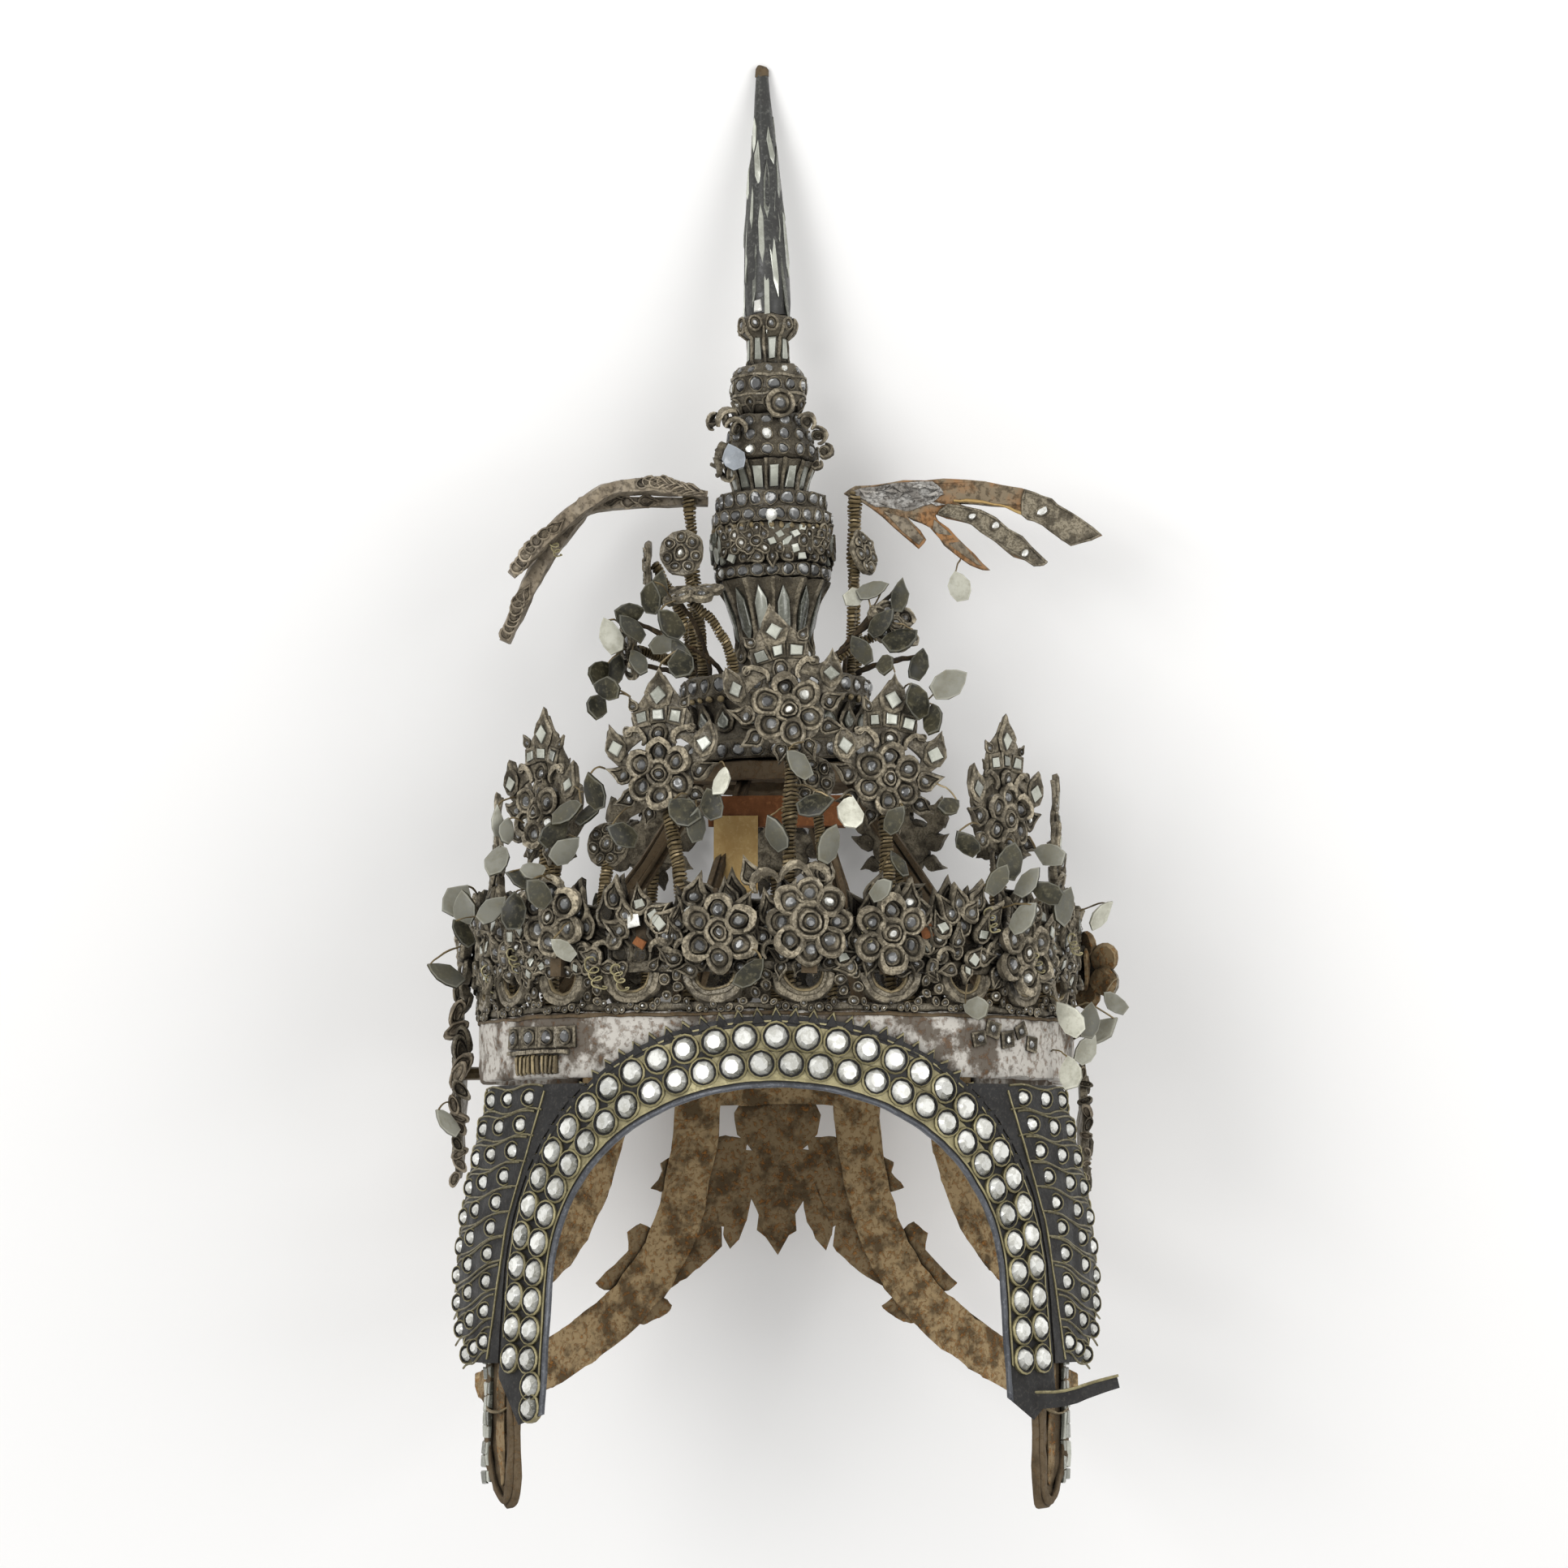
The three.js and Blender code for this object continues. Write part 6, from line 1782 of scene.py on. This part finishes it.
# %% Upper cup and leaf tier
CUP = [(11.4, 193.7), (11.5, 196), (12.4, 199), (14, 202), (15, 204)]
LEAF_TIER = [(14.2, 204.3), (15.6, 205.4), (16, 207.6), (14.6, 209.4), (13.6, 213), (12.4, 217), (11.4, 220)]
LOOSE_LEAVES = (  # x, y, z, angle, roll, size
    (-14, -12, 217.5, 30, 30, 3.4), (-18, -12, 217, 80, -20, 2.6), (-11, -14, 214.5, -20, 10, 3.2),
    (-16, -12, 206, 60, 40, 3.4), (-18, -13, 202, 110, 55, 3.0), (-14, -14, 199.6, 150, -30, 2.6),
    (12, -13, 216, -40, -20, 3.0), (16, -11, 212, -80, -50, 2.8), (18, -10, 207, -120, 40, 2.4),
    (15, -13, 202, -150, 30, 2.2),
)

kit = Kit()
for spot in ring_of(14, 12.6, 198.6, -18, 6):
    kit.mirror(spot, (1.5, 3.7, 2.0), 0.1, 1.0)
tower_piece("upper_cup", CUP, kit, extras=ribs(14, CUP, 0.5, 0.7, 18.9))

kit = Kit()
for z, radius, count, lean in ((207.2, 15.8, 17, 0), (212.6, 13.9, 15, 8), (217.4, 12.3, 13, 10)):
    for spot in ring_of(count, radius, z, lean, z):
        kit.setting(spot, 1.75, 0.2)
for x, y, z, angle, roll, size in LOOSE_LEAVES:
    spot = shift(x, y, z) @ turn(roll, "Z") @ FACE @ turn(angle, "Z") @ turn(roll, "X")
    kit.put(CRESCENT, LACQUER, spot, (size, size * 0.9, size * 1.2), shade(0.3, 0.6))
    kit.put(BOSS, LACQUER, spot @ turn(50, "Y"), (size * 0.8, size * 0.8, size * 0.6), shade(0.2, 0.5))
hanging_mirror = shift(-12, -18.4, 204) @ turn(-8, "X") @ FACE @ turn(20, "Z")
kit.put(SHIELD, BLUE_GLASS, hanging_mirror, (4.4, 4.2, 4), 0.5)
tower_piece("leaf_tier", LEAF_TIER, kit)

# %% [markdown]
# The upper bulb is a small copy of the lower one with fewer stones, thin mouldings and one large plain
# boss at the front. The neck narrows to slips of mirror between ribs and ends in a ring of bosses that
# the spire stands on.

# %% Upper bulb and neck
UPPER_BULB = [(9, 220.3), (10.4, 222), (12, 225), (12.4, 229), (12.2, 232.4), (11, 235), (10, 236.5)]
MOULDINGS = ((12.2, 226.4), (12.2, 232.4), (11.0, 223.0))  # radius, height
MOULDING_SECTION = ((-0.5, -0.5), (0.4, -0.4), (0.4, 0.4), (-0.5, 0.5))
NECK = [
    (6.2, 236.8), (6.6, 238), (6.2, 240), (6.5, 243), (6.4, 245.6), (8.4, 247.6), (9.5, 249.4),
    (9.4, 251.4), (8, 253.2),
]

kit = Kit()
for spot in ring_of(13, 12.3, 229.4, 0, 8):
    kit.setting(spot, 2.0, 0.2)
for spot in ring_of(12, 10.9, 234.6, 26):
    kit.setting(spot, 1.4, 0.35)
for spot in ring_of(11, 11.2, 223.6, -24):
    kit.boss(spot @ turn(180, "Z"), 2.4, 0.1, SPROUT)
kit.boss(facing(15, 14.0, 222.6, -6), 5.0, 0.0, tone=0.6)
mouldings = []
for r, z in MOULDINGS:
    profile = [(r + out, z + up_by) for out, up_by in MOULDING_SECTION]
    mouldings.append((turned(profile, 40, closed=True), LACQUER))
tower_piece("upper_bulb", UPPER_BULB, kit, extras=mouldings)

kit = Kit()
for spot in ring_of(9, 6.6, 242.2, 0, 12):
    kit.mirror(spot, (1.1, 3.4, 1.8), 0.2, 1.0)
for spot in ring_of(10, 9.1, 250.2, 0, 10):
    kit.boss(spot, 2.6, 0.0)
tower_piece("neck", NECK, kit, extras=ribs(9, NECK[:7], 0.3, 0.6, 32))

# %% [markdown]
# The spire is dark resin set with long splinters of mirror that shrink towards the tip. Rows would look
# like a pattern, so each stands 137.5 degrees further round and a little higher, as seeds do on a stalk.
# The wooden core shows at the broken tip.

# %% Spire
SPIRE = [(7.4, 253.5), (7.6, 258), (7.4, 266), (6.9, 279), (5.6, 296), (4.2, 311), (2.6, 328), (1.6, 337.8)]
SPLINTERS, GOLDEN_ANGLE = 34, 137.5
SPLINTER_FOOT, SPLINTER_RISE = 260, 60
TIP_WOOD = [(2.1, 334.6), (1.9, 337.2), (1.4, 338.2)]

kit = Kit()
for index in range(SPLINTERS):
    z = SPLINTER_FOOT + SPLINTER_RISE * (index / SPLINTERS) ** 1.1
    radius = float(np.interp(z, [p[1] for p in SPIRE], [p[0] for p in SPIRE]))
    spot = facing(index * GOLDEN_ANGLE, radius * 0.99, z, 4) @ turn(shade(-7, 4), "Z")
    kit.mirror(spot, (shade(1.2, 2.4), shade(7, 15) * radius / 7, 0.9), 0.0, 1.0, SLIVER)
kit.put(SQUARE, GLASS, facing(-22, 7.5, 256.2), (1.3, 2.2, 1), 1.0)
tip = [(turned(TIP_WOOD, 16), OLD_WOOD)]
tower_piece("spire", SPIRE, kit, None, 32, RESIN, "mirror_mosaic", extras=tip)

# %% [markdown]
# Danglers cut from tin hang on fine wire all round the crest and the tower, too small and loose for solids
# of their own. Each is placed where it is seen, moved to just in front of the nearest ornament and wired to
# its nearest corner, so none floats. Most show their faces, as they fell.

# %% Leaf danglers
DANGLERS = (  # x, y, z, tone
    (-89, -58, 81, 0.85), (-86, -50, 79, 0.6), (-90, -62, 68, 0.65), (-76, -80, 64, 0.6),
    (-80, -72, 62, 0.35), (-67, -84, 70, 0.65), (-103, -30, 58, 0.6), (-100, -36, 55, 0.55),
    (-90, -60, 53, 0.6), (-100, -40, 47, 0.2), (-66, -100, 38, 0.75), (-107, -28, 34, 0.45),
    (-57, -66, 90, 0.15), (-59, -70, 83, 0.2), (-17, -92, 91, 0.95), (-25, -84, 78, 0.45),
    (-20, -80, 85, 0.2), (7, -70, 98, 0.5), (0, -98, 74, 0.45), (23, -92, 81, 0.95), (16, -98, 71, 0.5),
    (-48, -70, 76, 0.2), (-29, -78, 83, 0.25), (54, -70, 85, 0.15), (69, -84, 61, 0.45),
    (79, -80, 60, 0.58), (85, -70, 58, 0.25), (91, -62, 54, 0.5), (105, -30, 53, 0.85),
    (77, -92, 48, 0.62), (87, -64, 70, 0.7), (62, -98, 20, 0.72), (93, -62, 18, 0.98),
    (100, -44, 18, 0.5), (108, -26, 14, 0.85), (100, -46, 8, 0.8), (93, -60, 1, 0.85),
    (110, -22, 25, 0.6), (60, -84, 72, 0.2), (32, -101, 57, 0.6), (-54, -40, 143, 0.85),
    (-45, -46, 134, 0.45), (-37, -50, 140, 0.5), (-40, -34, 155, 0.1), (-56, -44, 119, 0.1),
    (-53, -48, 124, 0.15), (25, -34, 156, 0.85), (31, -24, 159, 0.5), (54, -44, 126, 0.65),
    (49, -52, 114, 0.15), (60, -4, 163, 0.8), (-108, -10, -14, 0.75), (-8, -102, 31, 0.2),
    (37, -60, 82, 0.3), (-66, -60, 84, 0.4), (-48, -46, 150, 0.1), (-34, -44, 146, 0.05),
    (-30, -46, 132, 0.1), (-58, -44, 131, 0.05), (34, -44, 132, 0.05), (40, -46, 141, 0.1),
    (44, -46, 120, 0.05), (38, -84, 66, 0.1), (12, -90, 84, 0.12), (-70, -76, 76, 0.1),
    (-82, -70, 52, 0.15), (-74, -82, 57, 0.4), (74, -78, 67, 0.3), (60, 80, 60, 0.6), (-60, 80, 62, 0.5),
    (88, 50, 58, 0.7), (-90, 48, 60, 0.6),
)
DANGLER_TONE_POWER = 2.5
BACK_FROM, VIEW_RISE = 10, 0.087
HANG = dict(near=8.0, slack=2, gap=3.0, above=6)
FINE_WIRE = circle(0.3, 5)
cloud = np.vstack(Piece.made)


def hung(x, y, z):
    """A place in front of the ornament seen at x and z, and the nearest corner to hang it from."""
    front = 1 if y < BACK_FROM else -1
    away = np.hypot(cloud[:, 0] - x, cloud[:, 2] - z - VIEW_RISE * (cloud[:, 1] - y))
    near = away < max(HANG["near"], away.min() + HANG["slack"])
    side = cloud[:, 1] * front
    depth = cloud[near][side[near].argmin()][1] - HANG["gap"] * front
    spot = Vector((x, depth, z + VIEW_RISE * (depth - y)))
    distance = np.linalg.norm(cloud - np.array(spot) - (0, 0, HANG["above"]), axis=1)
    return spot, Vector(cloud[distance.argmin()])


kit, wires = Kit(), Piece("dangler_wires")
for x, y, z, tone in DANGLERS:
    size, tone = shade(4.2, 5.6), tone**DANGLER_TONE_POWER * shade(0.75, 1.0)
    spot, hook = hung(x, y, z)
    turned_to = 0 if y < BACK_FROM else 180
    swing = turn(turned_to + shade(-45, 45), "Z") @ turn(shade(-40, 25), "X") @ turn(shade(-80, 80), "Y")
    place = Matrix.Translation(spot) @ swing @ FACE
    kit.put(SHIELD, TIN, place, (size * shade(0.72, 0.95), size * 1.06, size), tone)
    eye = place @ Vector((0, 1.05 * size, 0))
    slack = (eye + hook) / 2 + Vector((0, -1.5, 2.0))
    wires.add(swept(bezier(eye, slack, hook, 8), FINE_WIRE), WIRE)
print("danglers:", len(DANGLERS))

# %% [markdown]
# Beside the tower stands a tangle of dark stems, each with a leaf, and here and there a bare curl of brass
# wire is all that is left of a dangler. A curl is a short helix that opens out, which a formula gives. The
# danglers then become two pieces, leaves and wires.

# %% Dark stems and loose curls
LOOSE_CURLS = (  # x, y, z, radius
    (-93, -38, 36, 1.6), (-84, -58, 40, 1.3), (-58, -84, 36, 1.8), (-50, -88, 34, 1.5), (80, -64, 41, 1.6),
    (94, -40, 46, 1.3), (26, -99, 47, 1.2), (-20, -101, 48, 1.2), (66, -76, 52, 1.4), (-74, -10, 178, 1.2),
)
CURL_TURNS, CURL_STEPS = 3.2, 40
DARK_STEMS = (  # bearing of the foot on the tower, x, y, z of the tip
    (-70, -46, -20, 151), (-52, -37, -27, 163), (-86, -52, -8, 139), (-40, -30, -34, 141), (60, 41, -20, 160),
    (45, 35, -30, 150), (76, 47, -12, 138), (34, 28, -34, 141),
)
STEM_TONE, STEM_LEAF = 0.08, (3.6, 5.2, 5)

for seat, x, y, z in DARK_STEMS:
    stem = swept(spring_path(seat_on("tower", seat), (x, y, z)), circle(0.8, 6)).toned(STEM_TONE)
    wires.add(stem, OLD_WOOD, LEAN)
    swing = turn(shade(-30, 30), "Z") @ FACE @ turn(shade(-50, 50), "Z")
    kit.put(SHIELD, TIN, LEAN @ shift(x, y - 1.2, z - 3) @ swing, STEM_LEAF, shade(0.01, 0.05))
for x, y, z, size in LOOSE_CURLS:
    t = np.linspace(0, 1, CURL_STEPS)[:, None]
    spin = 2 * math.pi * CURL_TURNS * t
    across, height = np.cos(spin) + 2 * t, np.sin(spin) * (1 - 0.5 * t) - 5 * t
    curl = size * np.hstack([across, 0.5 * t, height])
    wires.add(swept(curl + (x, y, z), FINE_WIRE), BRASS)
Piece("leaf_danglers").add_all(kit.shapes()).finish("mirror_glass")
wires.finish("brass")
print("stems:", len(DARK_STEMS), "curls:", len(LOOSE_CURLS))

# %% [markdown]
# The crown lies on a plain pale table under soft studio light: a white world for the even paper tone
# and two large softboxes, the stronger one from the left, for the soft shadow on the right. The plain
# view transform keeps the table as pale as the paper in the photo.

# %% Table and light
TABLE_SIZE, TABLE_COLOUR = 8, (0.9, 0.895, 0.885, 1)
SKY_STRENGTH = 0.68
SOFTBOXES = (  # name, place, size, power
    ("key", (-0.9, 0.8, 1.6), 0.9, 17), ("fill", (1.1, 0.5, 1.4), 1.1, 11),
)
AIM = Vector((0, 0, 0.1))

bpy.ops.mesh.primitive_plane_add(size=TABLE_SIZE, location=(0, 0, 0))
table = bpy.context.object
table.name = "table"
paper = bpy.data.materials.new("table_paper")
paper.use_nodes = True
surface = paper.node_tree.nodes["Principled BSDF"]
surface.inputs["Base Color"].default_value = TABLE_COLOUR
surface.inputs["Roughness"].default_value = 0.95
surface.inputs["Specular IOR Level"].default_value = 0.1
table.data.materials.append(paper)
world = bpy.data.worlds.new("studio")
world.use_nodes = True
sky = world.node_tree.nodes["Background"]
sky.inputs["Color"].default_value = (1, 1, 1, 1)
sky.inputs["Strength"].default_value = SKY_STRENGTH
bpy.context.scene.world = world
bpy.context.scene.view_settings.view_transform = "Standard"
for name, at, size, power in SOFTBOXES:
    lamp = bpy.data.lights.new(name, "AREA")
    lamp.energy, lamp.size = power, size
    holder = linked(name, lamp)
    holder.location = at
    holder.rotation_euler = (AIM - Vector(at)).to_track_quat("-Z", "Y").to_euler()
print("softboxes:", [row[0] for row in SOFTBOXES])

# %% [markdown]
# The camera looks at the crown a little from the spire's side, at the angle of the photo. A long lens from
# far away keeps the rows of stones parallel, as they are there. Its place is worked out in the crown's
# upright frame and laid down with everything else.

# %% Camera
VIEW_TILT, DISTANCE, FIELD, SENSOR = 5.0, 1600.0, 512.5, 36
target = Vector((2.4, -8.5, 97.5))
tilt = math.radians(VIEW_TILT)
lens = bpy.data.cameras.new("camera")
lens.sensor_width = SENSOR
lens.lens = SENSOR * DISTANCE / FIELD
camera = linked("camera", lens)
eye = LAY_DOWN @ (target + Vector((0, -math.cos(tilt), -math.sin(tilt))) * DISTANCE)
spire_side = (LAY_DOWN.to_3x3() @ Vector((0, -math.sin(tilt), math.cos(tilt)))).normalized()
away = (eye - LAY_DOWN @ target).normalized()
across = spire_side.cross(away)
camera.matrix_world = Matrix((
    (across.x, spire_side.x, away.x, eye.x), (across.y, spire_side.y, away.y, eye.y),
    (across.z, spire_side.z, away.z, eye.z), (0, 0, 0, 1),
))
bpy.context.scene.camera = camera
print("camera", [round(c, 3) for c in eye])
